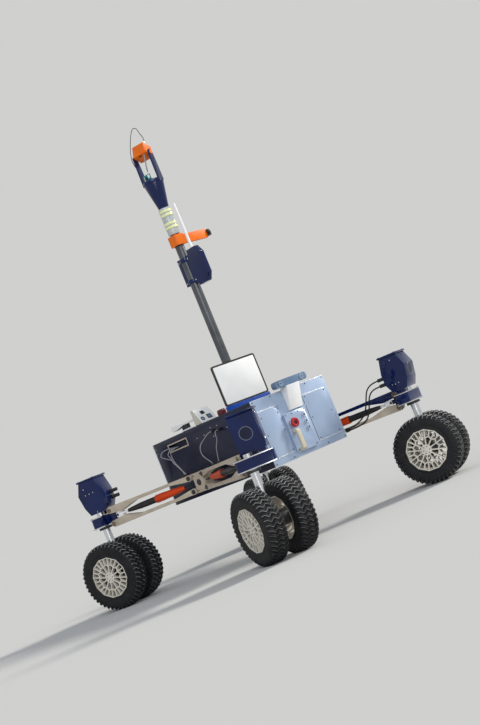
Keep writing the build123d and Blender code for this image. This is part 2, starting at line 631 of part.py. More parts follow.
STRIP_Y0 = -82.0
STRIP_Y1 = 36.0
STRIP_Z0 = 333.0
STRIP_Z1 = 496.0
SOCKET_Y = 18.0
SOCKET_ROWS = [467.0, 439.0, 412.0]
SOCKET_DIAMETER = 16.0
SOCKET_BORE = 9.0
SOCKET_PROUD = 7.0
SOCKET_DEPTH = 5.0
strip_x = PANEL_X + STRIP_PROUD
strip = block(PANEL_X, strip_x, STRIP_Y0, STRIP_Y1, STRIP_Z0, STRIP_Z1)
for z in SOCKET_ROWS:
    strip += rod_x(strip_x, strip_x + SOCKET_PROUD, SOCKET_Y, z, SOCKET_DIAMETER)
    strip -= rod_x(strip_x + SOCKET_PROUD - SOCKET_DEPTH, strip_x + 2 * SOCKET_PROUD, SOCKET_Y, z, SOCKET_BORE)
save("service_strip", strip)

STOP_Y = -58.0
STOP_Z = 451.0
STOP_HEAD_DIAMETER = 40.0
STOP_HEAD = 12.0
STOP_EDGE = 3.0
STOP_COLLAR_DIAMETER = 30.0
STOP_COLLAR = 14.0
stop_x = strip_x + STOP_COLLAR
stop_top = stop_x + STOP_HEAD
stop_radius = STOP_HEAD_DIAMETER / 2
profile = Polyline(
    (strip_x, 0), (strip_x, STOP_COLLAR_DIAMETER / 2), (stop_x, STOP_COLLAR_DIAMETER / 2), (stop_x, stop_radius),
    (stop_top - STOP_EDGE, stop_radius), (stop_top, stop_radius - STOP_EDGE), (stop_top, 0), close=True)
save("stop_button", Pos(0, STOP_Y, STOP_Z) * revolve(make_face(profile), Axis.X))

BAR_Y = -62.0
BAR_WIDTH = 20.0
BAR_THICKNESS = 9.0
BAR_Z0 = 336.0
BAR_Z1 = 426.0
BAR_STANDOFF = 18.0
BAR_FOOT = 14.0
BAR_CORNER = 7.0
bar_out = strip_x + BAR_STANDOFF + BAR_THICKNESS
bar = prism_y([
    (strip_x, BAR_Z0), (bar_out - BAR_CORNER, BAR_Z0), (bar_out, BAR_Z0 + BAR_CORNER), (bar_out, BAR_Z1 - BAR_CORNER),
    (bar_out - BAR_CORNER, BAR_Z1), (strip_x, BAR_Z1)], BAR_Y - BAR_WIDTH / 2, BAR_Y + BAR_WIDTH / 2)
bar -= block(strip_x - 1, strip_x + BAR_STANDOFF, BAR_Y - BAR_WIDTH, BAR_Y + BAR_WIDTH,
             BAR_Z0 + BAR_FOOT, BAR_Z1 - BAR_FOOT)
save("grab_bar", bar)

WEDGE_WIDTH = 74.0
WEDGE_BOTTOM = 502.0
WEDGE_TOP = 599.0
WEDGE_REACH = 45.0
wedge = prism_y([(PANEL_X, WEDGE_BOTTOM), (strip_x, WEDGE_BOTTOM), (PANEL_X + WEDGE_REACH, WEDGE_TOP),
                 (PANEL_X, WEDGE_TOP)], -WEDGE_WIDTH / 2, WEDGE_WIDTH / 2)
save("camera_hood", wedge)

STEREO_WIDTH = 180.0
STEREO_HEIGHT = 30.0
STEREO_DEPTH = 26.0
STEREO_BACK = 4.0
STEREO_ROUND = 12.0
LENS_SPACING = 120.0
LENS_DIAMETER = 18.0
LENS_PROUD = 2.0
stereo_x = PANEL_X + WEDGE_REACH - STEREO_BACK
stereo_face = Plane.YZ * RectangleRounded(STEREO_WIDTH, STEREO_HEIGHT, STEREO_ROUND)
stereo = Pos(stereo_x - STEREO_DEPTH, 0, WEDGE_TOP + STEREO_HEIGHT / 2) * extrude(stereo_face, amount=STEREO_DEPTH)
for y in (-LENS_SPACING / 2, LENS_SPACING / 2):
    stereo += rod_x(stereo_x, stereo_x + LENS_PROUD, y, WEDGE_TOP + STEREO_HEIGHT / 2, LENS_DIAMETER)
save("stereo_camera", stereo)

# Deck pieces

SIGN_X = 104.0
SIGN_WIDTH = 250.0
SIGN_TOP = 792.0
SIGN_THICKNESS = 6.0
SIGN_ROUND = 10.0
SIGN_BASE_HEIGHT = 24.0
SIGN_BASE_DEPTH = 14.0
base_top = BODY_TOP + SIGN_BASE_HEIGHT
sign_face = Plane.YZ * RectangleRounded(SIGN_WIDTH, SIGN_TOP - base_top, SIGN_ROUND)
sign = extrude(sign_face, amount=SIGN_THICKNESS)
save("name_board", Pos(SIGN_X - SIGN_THICKNESS / 2, 0, (SIGN_TOP + base_top) / 2) * sign)
save("name_board_base", block(SIGN_X - SIGN_BASE_DEPTH / 2, SIGN_X + SIGN_BASE_DEPTH / 2,
                              -SIGN_WIDTH / 2, SIGN_WIDTH / 2, BODY_TOP, base_top))

BOX_Y0 = -208.0
BOX_Y1 = -122.0
BOX_X0 = -28.0
BOX_X1 = 24.0
BOX_SLOPE = 23.0
BOX_TOP = 658.0
sensor = prism_y([(BOX_X0, BODY_TOP), (BOX_X1, BODY_TOP), (BOX_X1 - BOX_SLOPE, BOX_TOP), (BOX_X0, BOX_TOP)],
                 BOX_Y0, BOX_Y1)
save("sensor_box", sensor)

HANDLE_X0 = -195.0
HANDLE_Y = -190.0
HANDLE_WIDTH = 22.0
HANDLE_Z = 616.0
HANDLE_BAR = 12.0
FOOT_X0 = -130.0
FOOT_X1 = -90.0
handle_y0 = HANDLE_Y - HANDLE_WIDTH / 2
handle_y1 = HANDLE_Y + HANDLE_WIDTH / 2
handle = block(HANDLE_X0 + HANDLE_WIDTH / 2, BOX_X0, handle_y0, handle_y1, HANDLE_Z, HANDLE_Z + HANDLE_BAR)
handle += rod_z(HANDLE_X0 + HANDLE_WIDTH / 2, HANDLE_Y, HANDLE_Z, HANDLE_Z + HANDLE_BAR, HANDLE_WIDTH)
handle += block(FOOT_X0, FOOT_X1, handle_y0, handle_y1, BODY_TOP, HANDLE_Z)
save("deck_handle", handle)

CAP_X0 = 124.0
CAP_X1 = 160.0
CAP_Y = -190.0
CAP_WIDTH = 20.0
CAP_HEIGHT = 23.0
CAP_EDGE = 6.0
cap_top = BODY_TOP + CAP_HEIGHT
cap = prism_y([(CAP_X0, BODY_TOP), (CAP_X1, BODY_TOP), (CAP_X1, cap_top - CAP_EDGE), (CAP_X1 - CAP_EDGE, cap_top),
               (CAP_X0 + CAP_EDGE, cap_top), (CAP_X0, cap_top - CAP_EDGE)],
              CAP_Y - CAP_WIDTH / 2, CAP_Y + CAP_WIDTH / 2)
save("deck_cap", cap)

# Mast with its equipment box, rod antenna, camera arm and beacon

box_top = MAST_BOX_BOTTOM + MAST_BOX_HEIGHT
side_arm_bottom = box_top + SIDE_ARM_GAP
side_arm_top = side_arm_bottom + SIDE_ARM_HEIGHT
beacon_bottom = side_arm_top + BEACON_GAP
mast_top = beacon_bottom + BEACON_HEIGHT
mast = rod_z(MAST_X, 0, BODY_TOP, beacon_bottom, MAST_DIAMETER)
mast -= rod_z(MAST_X, 0, BODY_TOP - 1, beacon_bottom + 1, MAST_DIAMETER - 2 * MAST_WALL)
save("mast_tube", mast)

# The box is a slim one that bulges away from the mast, with a flange that two bands hold to the tube
CHAMFER_RISE = 32.0
CHAMFER_RUN = 21.0
BOX_INNER = 42.0
FLANGE_HALF = 40.0
FLANGE_LOW_STEP = 17.0
FLANGE_HIGH_STEP = 19.0
STRAP_HEIGHT = 17.0
STRAP_WALL = 4.0
STRAP_INSET = 4.0
box_out = MAST_X + MAST_BOX_REACH
flange_bottom = MAST_BOX_BOTTOM + FLANGE_LOW_STEP
flange_top = box_top - FLANGE_HIGH_STEP
mast_box = prism_y([
    (MAST_X - FLANGE_HALF, flange_bottom), (MAST_X + FLANGE_HALF, flange_bottom),
    (MAST_X + BOX_INNER, MAST_BOX_BOTTOM), (box_out - CHAMFER_RUN, MAST_BOX_BOTTOM),
    (box_out, MAST_BOX_BOTTOM + CHAMFER_RISE), (box_out, box_top - CHAMFER_RISE), (box_out - CHAMFER_RUN, box_top),
    (MAST_X + BOX_INNER, box_top), (MAST_X + FLANGE_HALF, flange_top), (MAST_X - FLANGE_HALF, flange_top),
], -MAST_BOX_WIDTH / 2, MAST_BOX_WIDTH / 2)
for foot in (flange_bottom + STRAP_INSET, flange_top - STRAP_INSET - STRAP_HEIGHT):
    mast_box += rod_z(MAST_X, 0, foot, foot + STRAP_HEIGHT, MAST_DIAMETER + 2 * STRAP_WALL)
save("mast_box", mast_box - rod_z(MAST_X, 0, MAST_BOX_BOTTOM - 1, box_top + 1, MAST_DIAMETER))

ANTENNA_X = MAST_X + 70.0
ANTENNA_TOP = 1494.0
ANTENNA_FOOT_RADIUS = 7.0
ANTENNA_TIP_RADIUS = 4.0
antenna = Cone(ANTENNA_FOOT_RADIUS, ANTENNA_TIP_RADIUS, ANTENNA_TOP - box_top)
save("stick_antenna", Pos(ANTENNA_X, 0, (box_top + ANTENNA_TOP) / 2) * antenna)

CLAMP_HALF = 27.0
CLAMP_EDGE = 6.0
ARM_THICKNESS = 14.0
clamp = block(MAST_X - CLAMP_HALF, MAST_X + CLAMP_HALF, -CLAMP_HALF, CLAMP_HALF, side_arm_bottom, side_arm_top)
clamp = chamfer(clamp.edges().filter_by(Axis.Z), CLAMP_EDGE)
clamp += block(MAST_X + CLAMP_HALF - ARM_THICKNESS, MAST_X + CLAMP_HALF, CLAMP_HALF - ARM_THICKNESS, SIDE_ARM_REACH,
               side_arm_bottom, side_arm_top - CLAMP_EDGE)
clamp -= rod_z(MAST_X, 0, side_arm_bottom - 1, side_arm_top + 1, MAST_DIAMETER)
save("camera_arm", clamp)

ARM_CAMERA_LENGTH = 18.0
ARM_CAMERA_INSET = 6.0
ARM_CAMERA_HEIGHT = 28.0
ARM_LENS_DIAMETER = 12.0
ARM_LENS = 4.0
arm_camera_x = MAST_X + CLAMP_HALF + ARM_CAMERA_INSET
arm_camera_y = SIDE_ARM_REACH + ARM_CAMERA_LENGTH
arm_camera_z = side_arm_bottom + ARM_CAMERA_INSET
camera = block(MAST_X + CLAMP_HALF - ARM_THICKNESS, arm_camera_x, SIDE_ARM_REACH, arm_camera_y,
               arm_camera_z, arm_camera_z + ARM_CAMERA_HEIGHT)
camera += rod_x(arm_camera_x, arm_camera_x + ARM_LENS, SIDE_ARM_REACH + ARM_CAMERA_LENGTH / 2,
                arm_camera_z + ARM_CAMERA_HEIGHT / 2, ARM_LENS_DIAMETER)
save("arm_camera", camera)

RING_DIAMETER = 56.0
RING_HEIGHT = 12.0
# Foot of each proud ring above the beacon's base
RINGS = [26.0, 43.0, 82.0, 99.0]
outline = [(0, 0), (BEACON_DIAMETER / 2, 0)]
for foot in RINGS:
    outline += [(BEACON_DIAMETER / 2, foot), (RING_DIAMETER / 2, foot), (RING_DIAMETER / 2, foot + RING_HEIGHT),
                (BEACON_DIAMETER / 2, foot + RING_HEIGHT)]
outline += [(BEACON_DIAMETER / 2, BEACON_HEIGHT), (0, BEACON_HEIGHT)]
beacon_face = make_face(Polyline(*[(r, 0, z) for r, z in outline], close=True))
save("beacon", Pos(MAST_X, 0, beacon_bottom) * revolve(beacon_face, Axis.Z))

CONE_FOOT_RADIUS = 22.0
cone_top = mast_top + CONE_HEIGHT
cone = Cone(CONE_FOOT_RADIUS, CONE_TOP_DIAMETER / 2, CONE_HEIGHT)
save("mast_cone", Pos(MAST_X, 0, (mast_top + cone_top) / 2) * cone)

# Head: a fork that pans on the cone and a box that tilts in it, local X out of the box's face

pan_bottom = cone_top + PAN_GAP
pan_top = pan_bottom + PAN_BASE_HEIGHT
tilt_z = pan_top + TILT_RISE
fork_in = HEAD_WIDTH / 2 + HEAD_SIDE_GAP
fork_out = fork_in + FORK_THICKNESS
head_place = Pos(MAST_X, 0, 0) * Rot(0, 0, HEAD_YAW)
fork = rod_z(0, 0, pan_bottom, pan_top, CONE_TOP_DIAMETER)
for side in (-1, 1):
    y0, y1 = sorted((side * fork_in, side * fork_out))
    fork += prism_y([(-FORK_FOOT_HALF, pan_bottom), (FORK_FOOT_HALF, pan_bottom), (FORK_TOP_RADIUS, tilt_z),
                     (-FORK_TOP_RADIUS, tilt_z)], y0, y1)
    fork += rod_y(y0, y1, 0, tilt_z, 2 * FORK_TOP_RADIUS)
fork -= rod_y(-2 * fork_out, 2 * fork_out, 0, tilt_z, PIVOT_DIAMETER + 2 * RUNNING_FIT)
save("head_fork", head_place * fork)

BOARD_Y0 = -28.0
BOARD_Y1 = 8.0
BOARD_X = 12.0
BOARD_THICKNESS = 3.0
BOARD_TOP = 1658.0
CARRIER_HEIGHT = 9.0
CARRIER_BACK = 16.0
board = block(-CARRIER_BACK, BOARD_X, BOARD_Y0, BOARD_Y1, pan_top, pan_top + CARRIER_HEIGHT)
board += block(BOARD_X, BOARD_X + BOARD_THICKNESS, BOARD_Y0, BOARD_Y1, pan_top, BOARD_TOP)
save("head_electronics", head_place * board)

box_place = head_place * Pos(0, 0, tilt_z) * Rot(0, -HEAD_PITCH, 0)
head = block(-HEAD_DEPTH / 2, HEAD_DEPTH / 2, -HEAD_WIDTH / 2, HEAD_WIDTH / 2, -HEAD_BELOW_PIVOT, HEAD_ABOVE_PIVOT)
head = chamfer(head.edges().filter_by(Axis.Y), HEAD_EDGE)
head += rod_y(-fork_out - SLIDE_GAP - PIVOT_HEAD, fork_out + SLIDE_GAP + PIVOT_HEAD, 0, 0, PIVOT_DIAMETER)
for side in (-1, 1):
    y0, y1 = sorted((side * (fork_out + SLIDE_GAP), side * (fork_out + SLIDE_GAP + PIVOT_HEAD)))
    head += rod_y(y0, y1, 0, 0, PIVOT_HEAD_DIAMETER)
save("head_box", box_place * head)
whip = rod_z(WHIP_BACK, WHIP_SIDE, HEAD_ABOVE_PIVOT, HEAD_ABOVE_PIVOT + WHIP_LENGTH, WHIP_DIAMETER)
save("head_whip", box_place * whip)

# Leads

LOOP_DIAMETER = 3.0
HEAD_LEAD_DIAMETER = 5.0
HOUSING_LEAD_DIAMETER = 6.0
SIDE_LEAD_DIAMETER = 3.5
whip_tip = world(box_place, WHIP_BACK, WHIP_SIDE, HEAD_ABOVE_PIVOT + WHIP_LENGTH)
whip_next = world(box_place, WHIP_BACK, WHIP_SIDE, HEAD_ABOVE_PIVOT + WHIP_LENGTH + 16.0)
LOOP = [(-19.0, 17.0, 98.0), (-20.0, 11.0, 126.0), (-18.0, -8.0, 132.0), (-12.0, -27.0, 101.0),
        (-8.0, -45.0, 62.0), (-2.0, -56.0, 22.0), (5.0, -59.0, -10.0), (3.0, -56.0, -45.0)]
loop_points = [whip_tip, whip_next] + [world(head_place, x, y, tilt_z + z) for x, y, z in LOOP]
LEAD_FOOT = (18.0, 22.0, -HEAD_BELOW_PIVOT)
LEAD_DROP = 17.0
HEAD_LEAD = [(30.0, 21.0, -36.0), (27.0, 13.0, -53.0), (19.0, 6.0, -66.0)]
foot = world(box_place, *LEAD_FOOT)
below = world(box_place, LEAD_FOOT[0], LEAD_FOOT[1], LEAD_FOOT[2] - LEAD_DROP)
head_points = [foot, below] + [world(head_place, x, y, tilt_z + z) for x, y, z in HEAD_LEAD]
save("head_leads", [lead("head loop", loop_points, LOOP_DIAMETER),
                    lead("head lead", head_points, HEAD_LEAD_DIAMETER)])

# Front left housing: points as distance from the rocker, distance from the arm's middle towards
# the body, and height; the first row of each lead follows its plug
HOUSING_ROUTES = [
    [(418, 62, 470), (397, 53, 455), (381, 43, 434), (366, 34, 411), (351, 28, 389), (333, 25, 368),
     (308, 24, 352), (272, 22.5, 341.5), (238, 24, 337.5)],
    [(420, 62, 446), (400, 54, 430), (385, 44, 409), (371, 35, 386), (356, 28.5, 364), (337, 25.5, 346),
     (314, 24.5, 335.5), (280, 22.5, 331), (238, 24, 330.5)],
]
PLUG_STRAIGHT = 25.0
CLIP_S0 = 225.0
CLIP_S1 = 240.0
CLIP_DEPTH = 12.0
CLIP_Z0 = 326.0
CLIP_Z1 = 343.0
name, side_x, side_y, steer, yaw = CORNERS[2]
arm = arm_place(side_x, side_y)
place = knuckle_place(side_x, side_y, yaw)
turn = hand(side_x, side_y)
tip_x = -HOUSING_BACK - PLUG_LENGTH
plug_y = turn * (HOUSING_OFFSET + PLUG_SHIFT)
bundle = arm * block(CLIP_S0, CLIP_S1, turn * arm_half, turn * (arm_half + CLIP_DEPTH), CLIP_Z0, CLIP_Z1)
for number, (z, route) in enumerate(zip(PLUG_HEIGHTS, HOUSING_ROUTES)):
    points = [world(place, tip_x, plug_y, z), world(place, tip_x - PLUG_STRAIGHT, plug_y, z)]
    points += [world(arm, s, turn * t, height) for s, t, height in route]
    bundle += lead(f"housing lead {number + 1}", points, HOUSING_LEAD_DIAMETER)
save("housing_cables", bundle)

# Right side: two plugs in the wall with a lead each, and three leads out of the slot
SIDE_PLUG_DIAMETER = 14.0
SIDE_PLUG_LENGTH = 18.0
SIDE_PLUGS = [(80.0, 545.0), (122.0, 541.0)]
plug_tip = -WALL_Y - SIDE_PLUG_LENGTH
save("side_plugs", [rod_y(plug_tip, -WALL_Y, x, z, SIDE_PLUG_DIAMETER) for x, z in SIDE_PLUGS])

# Each lead: its first point on a plug or on the slot's back wall, then the points it passes
FRONT_ROUTES = [
    [(80, plug_tip, 545), (80, -247, 545), (55, -256, 529), (30, -272, 510), (44, -292, 481), (68, -306, 465.5),
     (93, -318, 452), (132, -337, 439), (172, -355, 419.5)],
    [(122, plug_tip, 541), (122, -246, 541), (126, -252, 525), (136, -262, 503.5), (146, -290, 479),
     (180, -325, 450), (208, -352, 436), (236, -377, 419.5)],
]
REAR_ROUTES = [
    [(-232, slot_back, 548), (-232, -212, 548), (-250, -228, 551), (-276, -236, 546), (-280, -247, 531),
     (-250, -254, 519), (-219, -261, 510), (-189, -266, 499), (-160, -276, 482), (-129, -290, 462),
     (-98, -305, 445), (-66, -320, 419.5)],
    [(-218, slot_back, 545), (-218, -212, 545), (-233, -225, 542), (-242, -236, 527), (-226, -243, 514),
     (-203, -254, 504), (-179, -272, 487), (-144, -292, 476), (-109, -307, 460), (-74, -322, 441),
     (-70, -321, 419.5)],
    [(-204, slot_back, 543), (-204, -212, 543), (-218, -226, 538), (-222, -236, 524), (-208, -245, 509),
     (-188, -257, 493), (-165, -272, 478), (-138, -287, 463), (-110, -300, 446), (-60, -318, 419.5)],
]
# Clips on the upper arms: corner of the rover, distance from the rocker to both ends, half width
ARM_CLIPS = [(1, 176.0, 188.0, 6.0), (1, 243.0, 255.0, 6.0), (0, 60.0, 84.0, 9.0)]
ARM_CLIP_TOP = 424.0
CLIP_BITE = 1.0
clips = []
for corner, s0, s1, width in ARM_CLIPS:
    place = arms[corner]
    clips.append(place * (block(s0, s1, -width, width, ARM_TOP - ARM_DROP - CLIP_BITE, ARM_CLIP_TOP) - upper_arm))
loom = []
for number, (route, clip) in enumerate(zip(FRONT_ROUTES, clips)):
    loom.append(lead(f"side lead {number + 1}", route, SIDE_LEAD_DIAMETER) + clip)
slot_leads = clips[2]
for number, route in enumerate(REAR_ROUTES):
    slot_leads += lead(f"slot lead {number + 1}", route, SIDE_LEAD_DIAMETER)
save("side_cables", loom + [slot_leads])
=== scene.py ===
"""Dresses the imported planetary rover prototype: treads, screws, leads, finishes and studio."""

import json
from math import atan2, cos, degrees, hypot, pi, radians, sin
from types import SimpleNamespace

import bmesh
import bpy
from bpy.props import FloatProperty, FloatVectorProperty, IntProperty, PointerProperty
from bpy.types import Operator, Panel, PropertyGroup
from mathutils import Matrix, Vector


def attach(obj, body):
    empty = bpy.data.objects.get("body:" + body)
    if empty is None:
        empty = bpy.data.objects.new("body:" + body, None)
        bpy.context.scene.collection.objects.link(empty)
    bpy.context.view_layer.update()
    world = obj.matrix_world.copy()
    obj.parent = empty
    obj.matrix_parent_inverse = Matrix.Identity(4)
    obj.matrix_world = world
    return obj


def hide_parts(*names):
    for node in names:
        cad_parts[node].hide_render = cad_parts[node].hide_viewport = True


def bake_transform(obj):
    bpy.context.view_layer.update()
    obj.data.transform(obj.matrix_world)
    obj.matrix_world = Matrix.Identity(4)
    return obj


bl_info = {
    "name": "Planetary rover dressing",
    "version": (1, 0, 0),
    "blender": (4, 5, 0),
    "location": "3D View > Sidebar > Rover",
    "description": "Builds the visible pieces of a planetary rover prototype on its packed frame",
    "category": "Object",
}

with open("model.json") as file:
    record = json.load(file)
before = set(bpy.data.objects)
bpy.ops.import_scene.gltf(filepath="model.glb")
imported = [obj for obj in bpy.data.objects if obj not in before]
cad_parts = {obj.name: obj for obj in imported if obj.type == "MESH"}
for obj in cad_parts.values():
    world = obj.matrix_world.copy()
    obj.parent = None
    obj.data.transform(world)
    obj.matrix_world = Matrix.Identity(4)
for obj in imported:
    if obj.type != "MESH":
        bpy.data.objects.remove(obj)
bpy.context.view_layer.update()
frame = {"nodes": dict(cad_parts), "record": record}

# Lengths are in millimetres of the rover's frame, unless a comment says otherwise
MM = 0.001

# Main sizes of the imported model
HALF_WHEELBASE = 524.0
HALF_TRACK = 474.5
WHEEL_Z = 142.5
WHEEL_OFFSET = 67.5
ROCKER_Y = 297.0
ROCKER_HALF = 25.0
MID_Z = 373.5
PIN_RISE = 29.0
KNUCKLE_REACH = 62.0
ARM_SPAN = hypot(HALF_WHEELBASE, HALF_TRACK - ROCKER_Y)
ARM_SPLAY = degrees(atan2(HALF_TRACK - ROCKER_Y, HALF_WHEELBASE))
ARM_HALF = 18.0
PIN_IN = 55.0
PIN_OUT = ARM_SPAN - KNUCKLE_REACH
PANEL_X = 350.0
HATCH_X = PANEL_X + 2.5
WALL_Y = 213.0
STRIP_X = 362.0
LID_TOP = 565.0
HOUSING_SHIFT = 34.0
PLUG_Y = 64.0
MAST_X = 70.0
BEACON_Z = 1377.0
TILT_Z = 1740.0
HEAD_YAW = -71.5
HEAD_PITCH = 26.0

# Sides along X and Y are 1 or -1; the steering angle and the yaw of the housing are in degrees
CORNERS = [
    SimpleNamespace(name="rear_right", side_x=-1, side_y=-1, steer=20.0, yaw=28.0),
    SimpleNamespace(name="front_right", side_x=1, side_y=-1, steer=-13.0, yaw=49.0),
    SimpleNamespace(name="front_left", side_x=1, side_y=1, steer=28.0, yaw=21.0),
    SimpleNamespace(name="rear_left", side_x=-1, side_y=1, steer=-20.0, yaw=25.0),
]
REAR_RIGHT, FRONT_RIGHT, FRONT_LEFT = CORNERS[:3]


def at(x, y, z):
    """Shift in millimetres."""
    return Matrix.Translation((x, y, z))


def spin(axis, angle):
    """Turn about an axis in degrees."""
    return Matrix.Rotation(radians(angle), 4, axis)


def corner_place(corner):
    """Steering axis of a corner."""
    return at(corner.side_x * HALF_WHEELBASE, corner.side_y * HALF_TRACK, 0)


def wheel_place(corner):
    """Local Y along the axle."""
    return corner_place(corner) @ spin("Z", corner.steer) @ at(0, 0, WHEEL_Z)


def outward(corner, angle):
    """Turn that carries local X out to a corner's end of the rover, and by an angle to its side."""
    return spin("Z", corner.side_y * angle if corner.side_x > 0 else 180 - corner.side_y * angle)


def knuckle_place(corner):
    """Local X out of the badge face of the housing."""
    return corner_place(corner) @ outward(corner, corner.yaw)


def hand(corner):
    """Sense of the knuckle's local Y that points to the middle of the rover."""
    return -corner.side_x * corner.side_y


def arm_place(corner):
    """Local X from the rocker block to the steering axis."""
    return at(0, corner.side_y * ROCKER_Y, 0) @ outward(corner, ARM_SPLAY)


def side_turn(sense):
    """Turn that carries local Z out to +Y or -Y."""
    return spin("X", -90 * sense)


HEAD_PLACE = at(MAST_X, 0, 0) @ spin("Z", HEAD_YAW)
TILT_PLACE = HEAD_PLACE @ at(0, 0, TILT_Z)
BOX_PLACE = TILT_PLACE @ spin("Y", -HEAD_PITCH)
ORIGIN = at(0, 0, 0)
TO_X = spin("Y", 90)
TO_Y = side_turn(1)
# Lays an outline of X and Z upright, so that its thickness runs towards -Y
UPRIGHT = spin("X", 90)
# Cosine above which a face counts as square on to an axis
SQUARE_ON = 0.7


def body_of(node):
    """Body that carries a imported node."""
    for body, nodes in frame["record"]["behaviour"]["bodies"].items():
        if node in nodes:
            return body
    raise KeyError(node)


def slot_of(node):
    """Material slot that the record gives a node."""
    for row in frame["record"]["subparts"]:
        if row["node"] == node:
            return row["material_slot"]
    raise KeyError(node)


# Finishes

